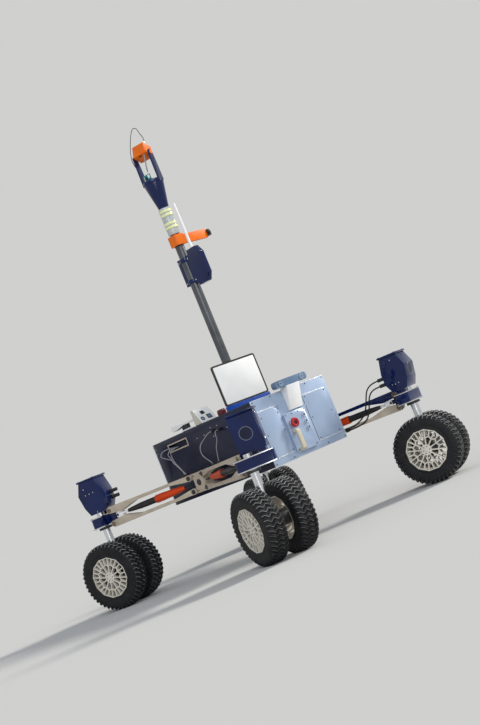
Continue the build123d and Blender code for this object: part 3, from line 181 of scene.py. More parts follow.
# Columns: main colour, second colour, colour where worn; roughness, metallic, grain per metre,
# patches per metre, bump in metres, spread of the roughness, clear coat, amount of wear
FINISHES = {
    "tyre": ((0.004, 0.0045, 0.006), (0.012, 0.012, 0.013), (0.12, 0.115, 0.11),
             0.62, 0.0, 900, 30, 0.00012, 0.14, 0.0, 0.4),
    # Dust and painted highlight: pale grey on one edge of each rib stands in for the glint there
    "tread_dust": ((0.30, 0.31, 0.32), (0.12, 0.12, 0.12), (0.30, 0.29, 0.28),
                   0.55, 0.0, 900, 45, 0.00012, 0.12, 0.0, 0.5),
    "rim": ((0.72, 0.685, 0.60), (0.63, 0.595, 0.51), (0.80, 0.77, 0.69),
            0.40, 0.0, 1400, 22, 0.00003, 0.10, 0.15, 0.3),
    # Painted shade: a darker, browner copy of the rim for cell walls and the barrel's inside
    "rim_wall": ((0.68, 0.645, 0.57), (0.56, 0.525, 0.455), (0.62, 0.58, 0.50),
                 0.50, 0.0, 1100, 40, 0.00005, 0.12, 0.0, 0.2),
    "alloy": ((0.74, 0.75, 0.77), (0.64, 0.65, 0.68), (0.90, 0.90, 0.92),
              0.22, 1.0, 1600, 18, 0.00001, 0.08, 0.0, 0.4),
    "dark_metal": ((0.040, 0.041, 0.046), (0.065, 0.064, 0.068), (0.28, 0.28, 0.29),
                   0.42, 0.55, 1500, 26, 0.00002, 0.10, 0.0, 0.5),
    "navy": ((0.002, 0.009, 0.060), (0.003, 0.013, 0.085), (0.08, 0.12, 0.40),
             0.14, 0.0, 1300, 14, 0.000012, 0.05, 0.12, 0.5),
    "navy_dark": ((0.005, 0.008, 0.030), (0.009, 0.013, 0.042), (0.08, 0.10, 0.18),
                  0.34, 0.1, 1300, 12, 0.00002, 0.08, 0.1, 0.4),
    "silver_blue": ((0.40, 0.50, 0.67), (0.34, 0.44, 0.61), (0.75, 0.80, 0.88),
                    0.30, 0.30, 1500, 7, 0.000012, 0.08, 0.3, 0.5),
    "bright_edge": ((0.76, 0.79, 0.84), (0.66, 0.70, 0.77), (0.9, 0.9, 0.9),
                    0.28, 0.4, 1500, 20, 0.00001, 0.06, 0.0, 0.2),
    "badge_ring": ((0.19, 0.22, 0.27), (0.14, 0.17, 0.22), (0.4, 0.4, 0.4),
                   0.30, 0.3, 1500, 20, 0.00001, 0.06, 0.0, 0.2),
    "tan": ((0.54, 0.465, 0.37), (0.45, 0.38, 0.295), (0.62, 0.54, 0.44),
            0.55, 0.0, 1000, 26, 0.00005, 0.10, 0.0, 0.5),
    "tan_dark": ((0.22, 0.165, 0.115), (0.15, 0.115, 0.085), (0.40, 0.33, 0.26),
                 0.45, 0.2, 1000, 30, 0.00003, 0.10, 0.0, 0.5),
    "blue_seam": ((0.07, 0.11, 0.22), (0.05, 0.085, 0.18), (0.2, 0.25, 0.35),
                  0.40, 0.2, 1500, 20, 0.00001, 0.06, 0.0, 0.2),
    "sleeve": ((0.64, 0.055, 0.004), (0.55, 0.042, 0.004), (0.85, 0.16, 0.04),
               0.36, 0.0, 1300, 20, 0.00003, 0.10, 0.0, 0.35),
    "orange": ((0.86, 0.170, 0.003), (0.78, 0.135, 0.003), (0.95, 0.25, 0.04),
               0.36, 0.0, 1300, 20, 0.00003, 0.10, 0.0, 0.35),
    # Painted shade: a darker copy of the red for the shaded cap and for the stop button's notches
    # and recess
    "red_dark": ((0.10, 0.003, 0.009), (0.075, 0.002, 0.007), (0.25, 0.03, 0.04),
                 0.30, 0.0, 1200, 30, 0.00002, 0.08, 0.1, 0.3),
    "red": ((0.50, 0.010, 0.025), (0.38, 0.008, 0.018), (0.75, 0.10, 0.10),
            0.26, 0.0, 1200, 30, 0.00002, 0.08, 0.4, 0.3),
    # Partly own colour, partly painted shade: the sensor box's sides, darker and warmer than its
    # white slope
    "cream": ((0.60, 0.575, 0.49), (0.52, 0.50, 0.42), (0.72, 0.70, 0.62),
              0.45, 0.0, 1300, 16, 0.00002, 0.10, 0.1, 0.3),
    "white": ((0.90, 0.905, 0.90), (0.86, 0.86, 0.85), (0.88, 0.87, 0.85),
              0.34, 0.0, 1300, 16, 0.00002, 0.10, 0.2, 0.3),
    "bar": ((0.62, 0.57, 0.44), (0.52, 0.47, 0.35), (0.72, 0.68, 0.56),
            0.48, 0.0, 1200, 28, 0.00004, 0.10, 0.05, 0.3),
    "black": ((0.012, 0.012, 0.014), (0.022, 0.022, 0.025), (0.10, 0.10, 0.10),
              0.42, 0.0, 1400, 24, 0.00003, 0.12, 0.1, 0.5),
    "blue": ((0.008, 0.065, 0.38), (0.006, 0.048, 0.30), (0.10, 0.25, 0.70),
             0.26, 0.0, 1200, 18, 0.00002, 0.08, 0.4, 0.3),
    "smoke": ((0.16, 0.25, 0.38), (0.11, 0.18, 0.30), (0.45, 0.55, 0.68),
              0.20, 0.15, 1300, 14, 0.000015, 0.06, 0.6, 0.3),
    "mast_grey": ((0.075, 0.080, 0.090), (0.11, 0.115, 0.125), (0.30, 0.31, 0.33),
                  0.34, 0.4, 1500, 16, 0.00002, 0.08, 0.1, 0.5),
    "clear_band": ((0.50, 0.53, 0.53), (0.60, 0.63, 0.61), (0.78, 0.80, 0.78),
                   0.16, 0.0, 900, 50, 0.00002, 0.05, 0.6, 0.2),
    "clear_ribs": ((0.80, 0.83, 0.40), (0.86, 0.88, 0.55), (0.94, 0.95, 0.80),
                   0.20, 0.0, 900, 40, 0.00002, 0.06, 0.5, 0.3),
    "board": ((0.010, 0.19, 0.22), (0.015, 0.26, 0.30), (0.10, 0.45, 0.48),
              0.40, 0.0, 1400, 60, 0.00004, 0.10, 0.2, 0.3),
    "smoke_lens": ((0.24, 0.33, 0.44), (0.18, 0.26, 0.37), (0.55, 0.63, 0.74),
                   0.12, 0.0, 1300, 14, 0.000008, 0.04, 0.9, 0.3),
    "lens": ((0.006, 0.008, 0.014), (0.010, 0.012, 0.020), (0.05, 0.06, 0.08),
             0.06, 0.0, 1000, 20, 0.000004, 0.02, 1.0, 0.1),
    "lead_grey": ((0.26, 0.26, 0.27), (0.35, 0.35, 0.36), (0.45, 0.45, 0.45),
                  0.42, 0.0, 1500, 40, 0.00003, 0.10, 0.1, 0.2),
}
# Levels of the noise between which the main colour turns into the second one
PATCH_LEVELS = (0.38, 0.66)


def add_nodes(tree, kinds):
    """Clears a node tree and fills it with nodes, which are found by key."""
    tree.nodes.clear()
    return {key: tree.nodes.new(kind) for key, kind in kinds}


def set_inputs(nodes, values):
    """Sets inputs, each given by the key of its node and its own name."""
    for key, socket, value in values:
        nodes[key].inputs[socket].default_value = value


def join(tree, nodes, links):
    """Joins nodes: key and output of the first, key and input of the second."""
    for start, start_socket, end, end_socket in links:
        tree.links.new(nodes[start].outputs[start_socket], nodes[end].inputs[end_socket])


def finish_material(name):
    """Procedural finish: patches of two colours, fine grain in bump and gloss, and worn edges."""
    found = bpy.data.materials.get(f"{name}_finish")
    if found:
        return found
    main, second, worn, *numbers = FINISHES[name]
    rough, metallic, grain, patch, bump, spread, coat, wear = numbers
    tints = bpy.context.scene.rover_finish
    if hasattr(tints, name):
        main = tuple(getattr(tints, name))
    material = bpy.data.materials.new(f"{name}_finish")
    material.use_nodes = True
    tree = material.node_tree
    nodes = add_nodes(tree, (
        ("out", "ShaderNodeOutputMaterial"), ("shader", "ShaderNodeBsdfPrincipled"),
        ("place", "ShaderNodeTexCoord"), ("patch", "ShaderNodeTexNoise"),
        ("ramp", "ShaderNodeValToRGB"), ("grain", "ShaderNodeTexNoise"),
        ("gloss", "ShaderNodeMapRange"), ("bump", "ShaderNodeBump"), ("edge", "ShaderNodeBevel"),
        ("true", "ShaderNodeNewGeometry"), ("dot", "ShaderNodeVectorMath"),
        ("worn", "ShaderNodeMapRange"), ("break", "ShaderNodeMath"), ("mix", "ShaderNodeMix"),
    ))
    nodes["dot"].operation = "DOT_PRODUCT"
    nodes["break"].operation = "MULTIPLY"
    nodes["mix"].data_type = "RGBA"
    nodes["edge"].samples = 4
    patches = nodes["ramp"].color_ramp.elements
    for patch_end, level, tone in zip(patches, PATCH_LEVELS, (main, second)):
        patch_end.position = level
        patch_end.color = (*tone, 1.0)
    set_inputs(nodes, (
        ("patch", "Scale", patch), ("patch", "Detail", 6.0),
        ("grain", "Scale", grain), ("grain", "Detail", 3.0),
        ("gloss", "To Min", max(rough - spread, 0.02)),
        ("gloss", "To Max", min(rough + spread, 1.0)),
        ("bump", "Distance", bump), ("bump", "Strength", 0.6), ("edge", "Radius", 0.0012),
        ("worn", "From Min", 0.985), ("worn", "From Max", 0.80), ("worn", "To Max", wear),
        ("mix", "B", (*worn, 1.0)), ("shader", "Metallic", metallic),
        ("shader", "Specular IOR Level", 0.3), ("shader", "Coat Weight", coat),
        ("shader", "Coat Roughness", 0.08),
    ))
    join(tree, nodes, (
        ("place", "Object", "patch", "Vector"), ("place", "Object", "grain", "Vector"),
        ("patch", 0, "ramp", 0), ("grain", 0, "gloss", "Value"), ("grain", 0, "bump", "Height"),
        ("edge", 0, "dot", 0), ("true", "Normal", "dot", 1), ("dot", "Value", "worn", "Value"),
        ("worn", 0, "break", 0), ("patch", 0, "break", 1), ("break", 0, "mix", "Factor"),
        ("ramp", 0, "mix", "A"), ("mix", "Result", "shader", "Base Color"),
        ("gloss", 0, "shader", "Roughness"), ("bump", 0, "shader", "Normal"),
        ("shader", 0, "out", "Surface"),
    ))
    return material


# Mesh helpers

# Distances within which corners are joined: in a new mesh in millimetres, in a packed one in metres
MERGE_NEW = 0.001
MERGE_PACKED = 0.000002
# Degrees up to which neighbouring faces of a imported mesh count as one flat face
FLAT_ANGLE = 0.6
# Degrees above which an edge is rounded, or else shown sharp
ROUNDED_ANGLE = 30.0
SHARP_ANGLE = 35.0
# Line of a screw head from its socket outwards, as shares of its radius and height
SCREW_LINE = [(0, 0.45), (0.44, 0.45), (0.5, 1), (0.72, 1), (0.96, 0.62), (1, 0.2), (1, 0), (0, 0)]


def rounded(wide, high, radius, steps=6):
    """Corner points of a rounded rectangle about the origin."""
    points = []
    for corner, (x, y) in enumerate(((1, 1), (-1, 1), (-1, -1), (1, -1))):
        for step in range(steps + 1):
            angle = radians(90 * (corner + step / steps))
            points.append((x * (wide / 2 - radius) + radius * cos(angle),
                           y * (high / 2 - radius) + radius * sin(angle)))
    return points


def ring_faces(rings, count):
    """Faces between rings of as many points each, the last ring joined to the first."""
    faces = []
    for ring in range(rings):
        low = ring * count
        high = (ring + 1) % rings * count
        for step in range(count):
            after = (step + 1) % count
            faces.append((low + step, low + after, high + after, high + step))
    return faces


class Shape:
    """Mesh under construction in millimetres of the rover's frame, with a finish for each face."""

    def __init__(self):
        self.mesh = bmesh.new()
        self.finishes = []

    def index(self, finish):
        """Number of a finish among those in use."""
        if finish not in self.finishes:
            self.finishes.append(finish)
        return self.finishes.index(finish)

    def add(self, place, points, faces, finish):
        """Points of a local frame and the faces between them."""
        verts = [self.mesh.verts.new(place @ Vector(point)) for point in points]
        for corners in faces:
            face = self.mesh.faces.new([verts[corner] for corner in corners])
            face.material_index = self.index(finish)
            face.smooth = True

    def prism(self, place, outline, z0, z1, finish):
        """Outline in local X and Y, run along Z."""
        count = len(outline)
        points = [(x, y, z0) for x, y in outline] + [(x, y, z1) for x, y in outline]
        faces = [tuple(reversed(range(count))), tuple(range(count, 2 * count))]
        for start in range(count):
            end = (start + 1) % count
            faces.append((start, end, count + end, count + start))
        self.add(place, points, faces, finish)

    def box(self, place, x0, x1, y0, y1, z0, z1, finish):
        """Box between two corners of a local frame."""
        self.prism(place, [(x0, y0), (x1, y0), (x1, y1), (x0, y1)], z0, z1, finish)

    def lathe(self, place, profile, finish, segments=48):
        """Rows of (radius, height) turned about local Z; a radius of zero closes the end."""
        points = []
        rings = []
        for radius, height in profile:
            if radius == 0:
                rings.append([len(points)])
                points.append((0, 0, height))
                continue
            rings.append(list(range(len(points), len(points) + segments)))
            for step in range(segments):
                angle = 2 * pi * step / segments
                points.append((radius * cos(angle), radius * sin(angle), height))
        faces = []
        for low, high in zip(rings, rings[1:]):
            for step in range(segments):
                after = (step + 1) % segments
                if len(low) == 1:
                    faces.append((low[0], high[after], high[step]))
                elif len(high) == 1:
                    faces.append((low[step], low[after], high[0]))
                else:
                    faces.append((low[step], low[after], high[after], high[step]))
        self.add(place, points, faces, finish)

    def frame(self, place, outer, inner, z0, z1, finish):
        """Flat frame between two outlines of as many points."""
        loops = [(outer, z0), (outer, z1), (inner, z1), (inner, z0)]
        points = [(x, y, z) for loop, z in loops for x, y in loop]
        self.add(place, points, ring_faces(len(loops), len(outer)), finish)

    def screw(self, place, radius, finish="black"):
        """Button head with a socket, standing on local XY."""
        height = radius * bpy.context.scene.rover_sizes.screw_rise
        line = [(radius * reach, height * rise) for reach, rise in SCREW_LINE]
        self.lathe(place, line, finish, segments=14)

    def tube(self, place, outer, inner, z0, z1, finish, segments=48):
        """Open ring with a wall."""
        line = [(inner, z0), (outer, z0), (outer, z1), (inner, z1), (inner, z0)]
        self.lathe(place, line, finish, segments)

    def make(self, name, body, replaced=(), edge=0.0, sharp=SHARP_ANGLE):
        """Turns the mesh into an object that rides on a body."""
        bmesh.ops.remove_doubles(self.mesh, verts=self.mesh.verts, dist=MERGE_NEW)
        bmesh.ops.recalc_face_normals(self.mesh, faces=self.mesh.faces)
        self.mesh.transform(Matrix.Scale(MM, 4))
        mesh = bpy.data.meshes.new(name)
        self.mesh.to_mesh(mesh)
        self.mesh.free()
        for finish in self.finishes:
            mesh.materials.append(finish_material(finish))
        return place_piece(name, mesh, body, replaced, edge, sharp)


def link_object(name, data):
    """New object in the scene."""
    piece = bpy.data.objects.new(name, data)
    bpy.context.scene.collection.objects.link(piece)
    return piece


def name_slot(piece, replaced):
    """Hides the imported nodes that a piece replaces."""
    if replaced:
        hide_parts(*replaced)
    return piece


def place_piece(name, mesh, body, replaced, edge, sharp=SHARP_ANGLE, edge_finish=None):
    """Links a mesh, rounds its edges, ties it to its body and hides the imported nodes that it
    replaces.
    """
    piece = link_object(name, mesh)
    if edge:
        rounding = piece.modifiers.new("Rounding", "BEVEL")
        rounding.width = edge * MM * bpy.context.scene.rover_sizes.edge_scale
        rounding.segments = 2
        rounding.limit_method = "ANGLE"
        rounding.angle_limit = radians(ROUNDED_ANGLE)
        rounding.use_clamp_overlap = True
        rounding.harden_normals = True
        if edge_finish:
            mesh.materials.append(finish_material(edge_finish))
            rounding.material = len(mesh.materials) - 1
    else:
        mesh.set_sharp_from_angle(angle=radians(sharp))
    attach(piece, body)
    return name_slot(piece, replaced)


def dress(node, name, edge, finish=None, paint=None, edge_finish=None):
    """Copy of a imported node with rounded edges; paint picks a finish by face middle and normal."""
    source = frame["nodes"][node].data
    work = bmesh.new()
    work.from_mesh(source)
    bmesh.ops.remove_doubles(work, verts=work.verts, dist=MERGE_PACKED)
    bmesh.ops.dissolve_limit(work, angle_limit=radians(FLAT_ANGLE), verts=work.verts,
                             edges=work.edges)
    bmesh.ops.recalc_face_normals(work, faces=work.faces)
    finishes = [finish or slot_of(node)]
    for face in work.faces:
        face.smooth = True
        face.material_index = 0
        if paint:
            chosen = paint(face.calc_center_median() / MM, face.normal)
            if chosen:
                if chosen not in finishes:
                    finishes.append(chosen)
                face.material_index = finishes.index(chosen)
    mesh = bpy.data.meshes.new(name)
    work.to_mesh(mesh)
    work.free()
    for key in finishes:
        mesh.materials.append(finish_material(key))
    return place_piece(name, mesh, body_of(node), (node,), edge,
                       edge_finish=edge_finish)


def screws(name, body, places, radius, finish="black"):
    """Joined mesh of like screws."""
    shape = Shape()
    for place in places:
        shape.screw(place, radius, finish)
    return shape.make(name, body)


def lead_curve(name, points, diameter, body, finish, replaced=(), across=None):
    """Lead along one smooth spline through a route's control points.

    A lead across a joint is turned into a mesh with its placing baked in, and is tied to no body.
    """
    curve = bpy.data.curves.new(name, "CURVE")
    curve.dimensions = "3D"
    spline = curve.splines.new("NURBS")
    spline.points.add(len(points) - 1)
    for point, spot in zip(spline.points, points):
        point.co = (*[value * MM for value in spot], 1.0)
    spline.order_u = 3
    spline.use_endpoint_u = True
    curve.resolution_u = 10
    curve.bevel_depth = diameter / 2 * MM
    curve.bevel_resolution = 4
    curve.use_fill_caps = True
    curve.materials.append(finish_material(finish))
    piece = link_object(name, curve)
    if across:
        mesh = bpy.data.meshes.new_from_object(piece)
        bpy.data.objects.remove(piece)
        piece = link_object(name, mesh)
        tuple(across[1])
        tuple(across[2])
        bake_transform(piece)
    else:
        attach(piece, body)
    return name_slot(piece, replaced)


# Sizes and colours that a person may change in the sidebar

def length(name, description, default, low):
    """Length in metres."""
    return FloatProperty(name=name, description=description, default=default, min=low,
                         unit="LENGTH", precision=4)


def factor(name, description, default, low=0.0):
    """Number without a unit."""
    return FloatProperty(name=name, description=description, default=default, min=low)


def colour(name, description, default):
    """Colour with red, green and blue from 0 to 1."""
    return FloatVectorProperty(name=name, description=description, default=default, min=0.0,
                               max=1.0, subtype="COLOR")


class RoverSizes(PropertyGroup):
    """Sizes of the visible detail, and the strength of the lights."""
    rib_count: IntProperty(name="Tread ribs", description="Zig-zag ribs round each tyre",
                           default=44, min=12)
    # A rib's edge carries dust and a painted highlight
    rib_edge: length("Rib edge", "Width of a rib's dusty edge", 0.002, 0.0002)
    rib_width: length("Rib width", "Width of a rib at its top", 0.006, 0.001)
    rib_swing: length("Rib swing", "Half the zig-zag of a rib", 0.0055, 0.0)
    screw_rise: factor("Screw rise", "Head height as a share of its radius", 0.6)
    edge_scale: factor("Edge rounding", "Factor on every rounded edge", 1.0, 0.1)
    lens_mm: FloatProperty(name="Lens", description="Focal length of the camera", default=66.51,
                           min=10.0, unit="CAMERA")
    key_power: factor("Key light", "Strength of the main lamp", 2.7)
    fill_power: factor("Fill light", "Strength of the fill lamp", 1.2)
    room_light: factor("Room light", "Strength of the light all round", 0.42)


class RoverFinish(PropertyGroup):
    """Main colours of the finishes, named as in their table, and the floor's colour."""
    tyre: colour("Tyre rubber", "Black of the tread", FINISHES["tyre"][0])
    rim: colour("Rim", "Off-white of the rims", FINISHES["rim"][0])
    navy: colour("Housings", "Glossy navy", FINISHES["navy"][0])
    tan: colour("Arms", "Tan composite", FINISHES["tan"][0])
    orange: colour("Orange pieces", "Head box and camera arm", FINISHES["orange"][0])
    silver_blue: colour("Front panel", "Pale blue sheet", FINISHES["silver_blue"][0])
    floor: colour("Floor", "Pale floor and backdrop", (0.66, 0.66, 0.65))


# Wheels

TYRE_SEGMENTS = 96
RIM_SIDES = 12
# Tyre from its bore to the crown: radius, distance from its middle, share of the rim's flats
TYRE_LINE = [
    (84.0, 34.0, 1.0), (84.4, 38.2, 1.0), (86.2, 39.6, 0.9), (89.5, 40.0, 0.5), (94.0, 39.6, 0.2),
    (96.0, 38.8, 0.0), (98.0, 39.4, 0.0), (112.0, 39.4, 0.0), (122.0, 38.4, 0.0),
    (129.0, 36.4, 0.0), (133.4, 33.4, 0.0), (135.2, 29.0, 0.0), (135.6, 15.0, 0.0),
    (135.6, 0.0, 0.0),
]
# Stations of a rib: radius of its foot, distance from the tyre's middle, sense of the swing,
# height, outward lean in radians
RIB_LINE = [
    (110.0, 39.0, -1.3, 0.9, 1.5), (121.0, 38.2, -1.2, 1.7, 1.4), (129.0, 36.0, -1.1, 3.6, 1.1),
    (134.0, 32.6, -1.0, 4.9, 0.6), (135.4, 28.5, -0.85, 6.8, 0.12), (135.6, 15.0, 1.0, 6.9, 0.0),
    (135.6, 0.0, -1.0, 6.9, 0.0),
]
# Radius at which the width and the swing of a rib are measured
CROWN_RADIUS = 138.5
# Height of a rib at its outer edges as a share of its full height, and how far its foot spreads
# and sinks
RIB_EDGE_RISE = 0.72
RIB_FOOT = 1.0
# Stations at each end of a rib without the dust and painted highlight, and the stretch across it
# that has them
CLEAN_STATIONS = 2
DUST_AND_HIGHLIGHT_STRETCH = 3


def flats(angle):
    """How far a twelve-sided line lies outside its inscribed circle at an angle."""
    side = 360 / RIM_SIDES
    part = (degrees(angle) + side / 2) % side - side / 2
    return 1.0 / cos(radians(part))


def add_carcass(shape, place):
    """Tyre without its ribs, about local Z."""
    line = [(radius, -z, share) for radius, z, share in TYRE_LINE] + TYRE_LINE[-2::-1]
    points = []
    for radius, height, share in line:
        for step in range(TYRE_SEGMENTS):
            angle = 2 * pi * step / TYRE_SEGMENTS
            reach = radius * (1 - share + share * flats(angle))
            points.append((reach * cos(angle), reach * sin(angle), height))
    shape.add(place, points, ring_faces(len(line), TYRE_SEGMENTS), "tyre")


def add_ribs(shape, place):
    """Zig-zag ribs of a tyre, about local Z."""
    sizes = bpy.context.scene.rover_sizes
    stations = [(radius, -z, sense, rise, -lean) for radius, z, sense, rise, lean in RIB_LINE]
    stations += RIB_LINE[-2::-1]
    top = sizes.rib_width / MM / 2
    edge = top + sizes.rib_edge / MM
    foot = edge + RIB_FOOT
    section = [(-foot, -RIB_FOOT), (-edge, RIB_EDGE_RISE), (-top, 1.0), (top, 1.0),
               (edge, RIB_EDGE_RISE), (foot, -RIB_FOOT)]
    points = []
    for radius, height, sense, rise, lean in stations:
        for across, share in section:
            lift = share * rise if share > 0 else share
            reach = radius + lift * cos(lean)
            angle = (sense * sizes.rib_swing / MM + across) / CROWN_RADIUS
            points.append((reach * cos(angle), reach * sin(angle), height + lift * sin(lean)))
    width = len(section)
    plain = [tuple(range(width)), tuple(reversed(range(len(points) - width, len(points))))]
    dust_and_highlight = []
    stretches = len(stations) - 1
    for row in range(stretches):
        for step in range(width - 1):
            low = row * width + step
            # One edge of each rib, away from its ends, is dust and painted highlight
            dust_and_highlight_here = step == DUST_AND_HIGHLIGHT_STRETCH and CLEAN_STATIONS <= row < stretches - CLEAN_STATIONS
            faces = dust_and_highlight if dust_and_highlight_here else plain
            faces.append((low, low + width, low + width + 1, low + 1))
    for rib in range(sizes.rib_count):
        turned = place @ spin("Z", rib * 360 / sizes.rib_count)
        shape.add(turned, points, plain, "tyre")
        shape.add(turned, points, dust_and_highlight, "tread_dust")


class ROVER_OT_tyres(Operator):
    """Builds the ribbed twin tyres of the four corners"""
    bl_idname = "rover.tyres"
    bl_label = "Tyres"

    def execute(self, context):
        for corner in CORNERS:
            shape = Shape()
            for side in (-1, 1):
                place = wheel_place(corner) @ at(0, side * WHEEL_OFFSET, 0) @ TO_Y
                add_carcass(shape, place)
                add_ribs(shape, place)
            shape.make(f"tread_{corner.name}", f"wheels_{corner.name}",
                       (f"tyres_{corner.name}",), sharp=28)
        return {"FINISHED"}


# Radius outside which a face belongs to the barrel of a rim
BARREL_RADIUS = 74.0
# Hub screws: distance of their face from the middle of a wheel, radius of their circle, number
HUB_FACE = 38.0
HUB_CIRCLE = 14.5
HUB_SCREWS = 6


class ROVER_OT_rims(Operator):
    """Builds the webbed rims with their hub screws"""
    bl_idname = "rover.rims"
    bl_label = "Rims"

    def execute(self, context):
        for corner in CORNERS:
            place = wheel_place(corner)
            axle = place.to_3x3() @ Vector((0, 1, 0))
            hub = place.translation

            def paint(middle, normal):
                """Painted shade: cell walls and the barrel's inside are darker and browner than the
                faces.
                """
                across = (middle - hub) - axle * (middle - hub).dot(axle)
                outside = across.length > BARREL_RADIUS and across.dot(normal) > 0
                return None if abs(normal.dot(axle)) > SQUARE_ON or outside else "rim_wall"

            dress(f"rims_{corner.name}", f"webbed_rims_{corner.name}", edge=0.6, finish="rim",
                  paint=paint)
            places = []
            for side in (-1, 1):
                face = place @ at(0, side * (WHEEL_OFFSET + HUB_FACE), 0) @ side_turn(side)
                places += [face @ spin("Z", step * 360 / HUB_SCREWS) @ at(HUB_CIRCLE, 0, 0)
                           for step in range(HUB_SCREWS)]
            screws(f"hub_screws_{corner.name}", f"wheels_{corner.name}", places, radius=2.2,
                   finish="dark_metal")
        return {"FINISHED"}


# Steering tube and its collar: finish, then radius and height of each row
TUBE_LINES = [
    ("alloy", [(14.2, 156.5), (16.4, 156.5), (17, 157.2), (17, 336)]),
    ("dark_metal", [(17, 336), (28.2, 336), (29, 336.8), (29, 345.2), (28.2, 346), (17, 346)]),
    ("alloy", [(17, 346), (17, 427.4), (16.4, 428), (14.2, 428), (14, 427.4), (14, 157.2),
               (14.2, 156.5)]),
]


class ROVER_OT_drives(Operator):
    """Builds the steered drives and their bright tubes"""
    bl_idname = "rover.drives"
    bl_label = "Drives"

    def execute(self, context):
        for corner in CORNERS:
            dress(f"axle_drive_{corner.name}", f"drive_{corner.name}", edge=1.2)
            tube = Shape()
            for finish, line in TUBE_LINES:
                tube.lathe(corner_place(corner), line, finish, segments=64)
            tube.make(f"bright_tube_{corner.name}", f"steering_{corner.name}",
                      (f"steering_tube_{corner.name}",))
        return {"FINISHED"}


# Knuckle plates: places of their screws in local X and Y, heights of their outer faces
PLATE_SCREWS = [(x, y) for x in (-22, 22) for y in (-47, 92)]
PLATE_TOP = 396
PLATE_BOTTOM = 348


class ROVER_OT_knuckles(Operator):
    """Builds the knuckles and their bright plates"""
    bl_idname = "rover.knuckles"
    bl_label = "Knuckles"

    def execute(self, context):
        dress("knuckle_blocks", "knuckles", edge=1.0, finish="navy")
        dress("knuckle_plates", "bright_plates", edge=0.9)
        places = []
        for corner in CORNERS:
            for x, y in PLATE_SCREWS:
                y *= hand(corner)
                places.append(knuckle_place(corner) @ at(x, y, PLATE_TOP))
                places.append(knuckle_place(corner) @ at(x, y, PLATE_BOTTOM) @ spin("X", 180))
        screws("plate_screws", "chassis", places, radius=3.0, finish="dark_metal")
        return {"FINISHED"}


# Bright screws on a housing's side covers, away from the body and towards it: distance towards
# the badge face, height. Then the distance of the covers from the housing's middle, and the
# screws of the lid in local X and Y
OUTER_SCREWS = [(24, 527), (24, 500), (5, 501), (-14, 502)]
INNER_SCREWS = [(8, 441), (-8, 439), (7, 539), (-22, 441)]
COVER_Y = 53.5
LID_SCREWS = [(x, y) for x in (-36, 36) for y in (-50, 50)]
# Slopes with the badge and with a screw: middle in X and Z, turn from the vertical
BADGE_AT = (55.8, 480.0, 99.6)
SLOPE_AT = (43.5, 544.0, 67.1)
# Blank badge: finish, then radius and height of each row
BADGE_LINES = [
    ("badge_ring", [(0, 0.7), (24.4, 0.7), (24.7, 1.0), (26.0, 1.0), (26.4, 0.6), (26.4, -0.4),
                    (0, -0.4)]),
    ("navy_dark", [(0, 0.9), (23.8, 0.9), (24.1, 0.5), (0, 0.5)]),
]


def slope_place(corner, slope):
    """Middle of a slope on a housing, with local Z out of it."""
    x, z, tilt = slope
    return knuckle_place(corner) @ at(x, hand(corner) * HOUSING_SHIFT, z) @ spin("Y", tilt)


class ROVER_OT_housings(Operator):
    """Builds the drive housings with lids, screws, plugs and the blank badges"""
    bl_idname = "rover.housings"
    bl_label = "Housings"

    def execute(self, context):
        dress("drive_housings", "navy_housings", edge=3.2)
        dress("housing_lids", "navy_lids", edge=1.8)
        dress("housing_plugs", "plugs", edge=0.6)
        bright = []
        dark = []
        for corner in CORNERS:
            turn = hand(corner)
            middle = knuckle_place(corner) @ at(0, turn * HOUSING_SHIFT, 0)
            for sense, table in ((-turn, OUTER_SCREWS), (turn, INNER_SCREWS)):
                bright += [middle @ at(x, sense * COVER_Y, z) @ side_turn(sense)
                           for x, z in table]
            dark.append(slope_place(corner, SLOPE_AT))
            dark += [middle @ at(x, y, LID_TOP) for x, y in LID_SCREWS]
        screws("housing_screws", "chassis", bright, radius=2.4, finish="alloy")
        screws("lid_screws", "chassis", dark, radius=2.8)
        badge = Shape()
        for corner in (FRONT_RIGHT, FRONT_LEFT):
            for finish, line in BADGE_LINES:
                badge.lathe(slope_place(corner, BADGE_AT), line, finish, segments=72)
        badge.make("blank_badges", "chassis")
        return {"FINISHED"}


# Suspension

# Slender part of an arm: distance from both pins, half its width
SLENDER_IN = 60.0
SLENDER_OUT = 90.0
SLENDER_HALF = 25.0
# Pin: head by radius and height, and radius of the shank
PIN_HEAD = [(0, 1.6), (4.0, 1.6), (4.3, 3.0), (8.9, 3.0), (9.8, 2.2), (10.0, 0), (0, 0)]
PIN_RADIUS = 4
# Cross pin of the clevis: distance from the outer pin, half its length, radius and height of rows
CLEVIS_BACK = 30.0
CLEVIS_HALF = 12.0
CLEVIS_PIN = [(0, 0), (5.0, 0), (5.4, 0.6), (5.4, 2), (3, 2), (3, 22), (5.4, 22), (5.4, 23.4),
              (5.0, 24), (0, 24)]


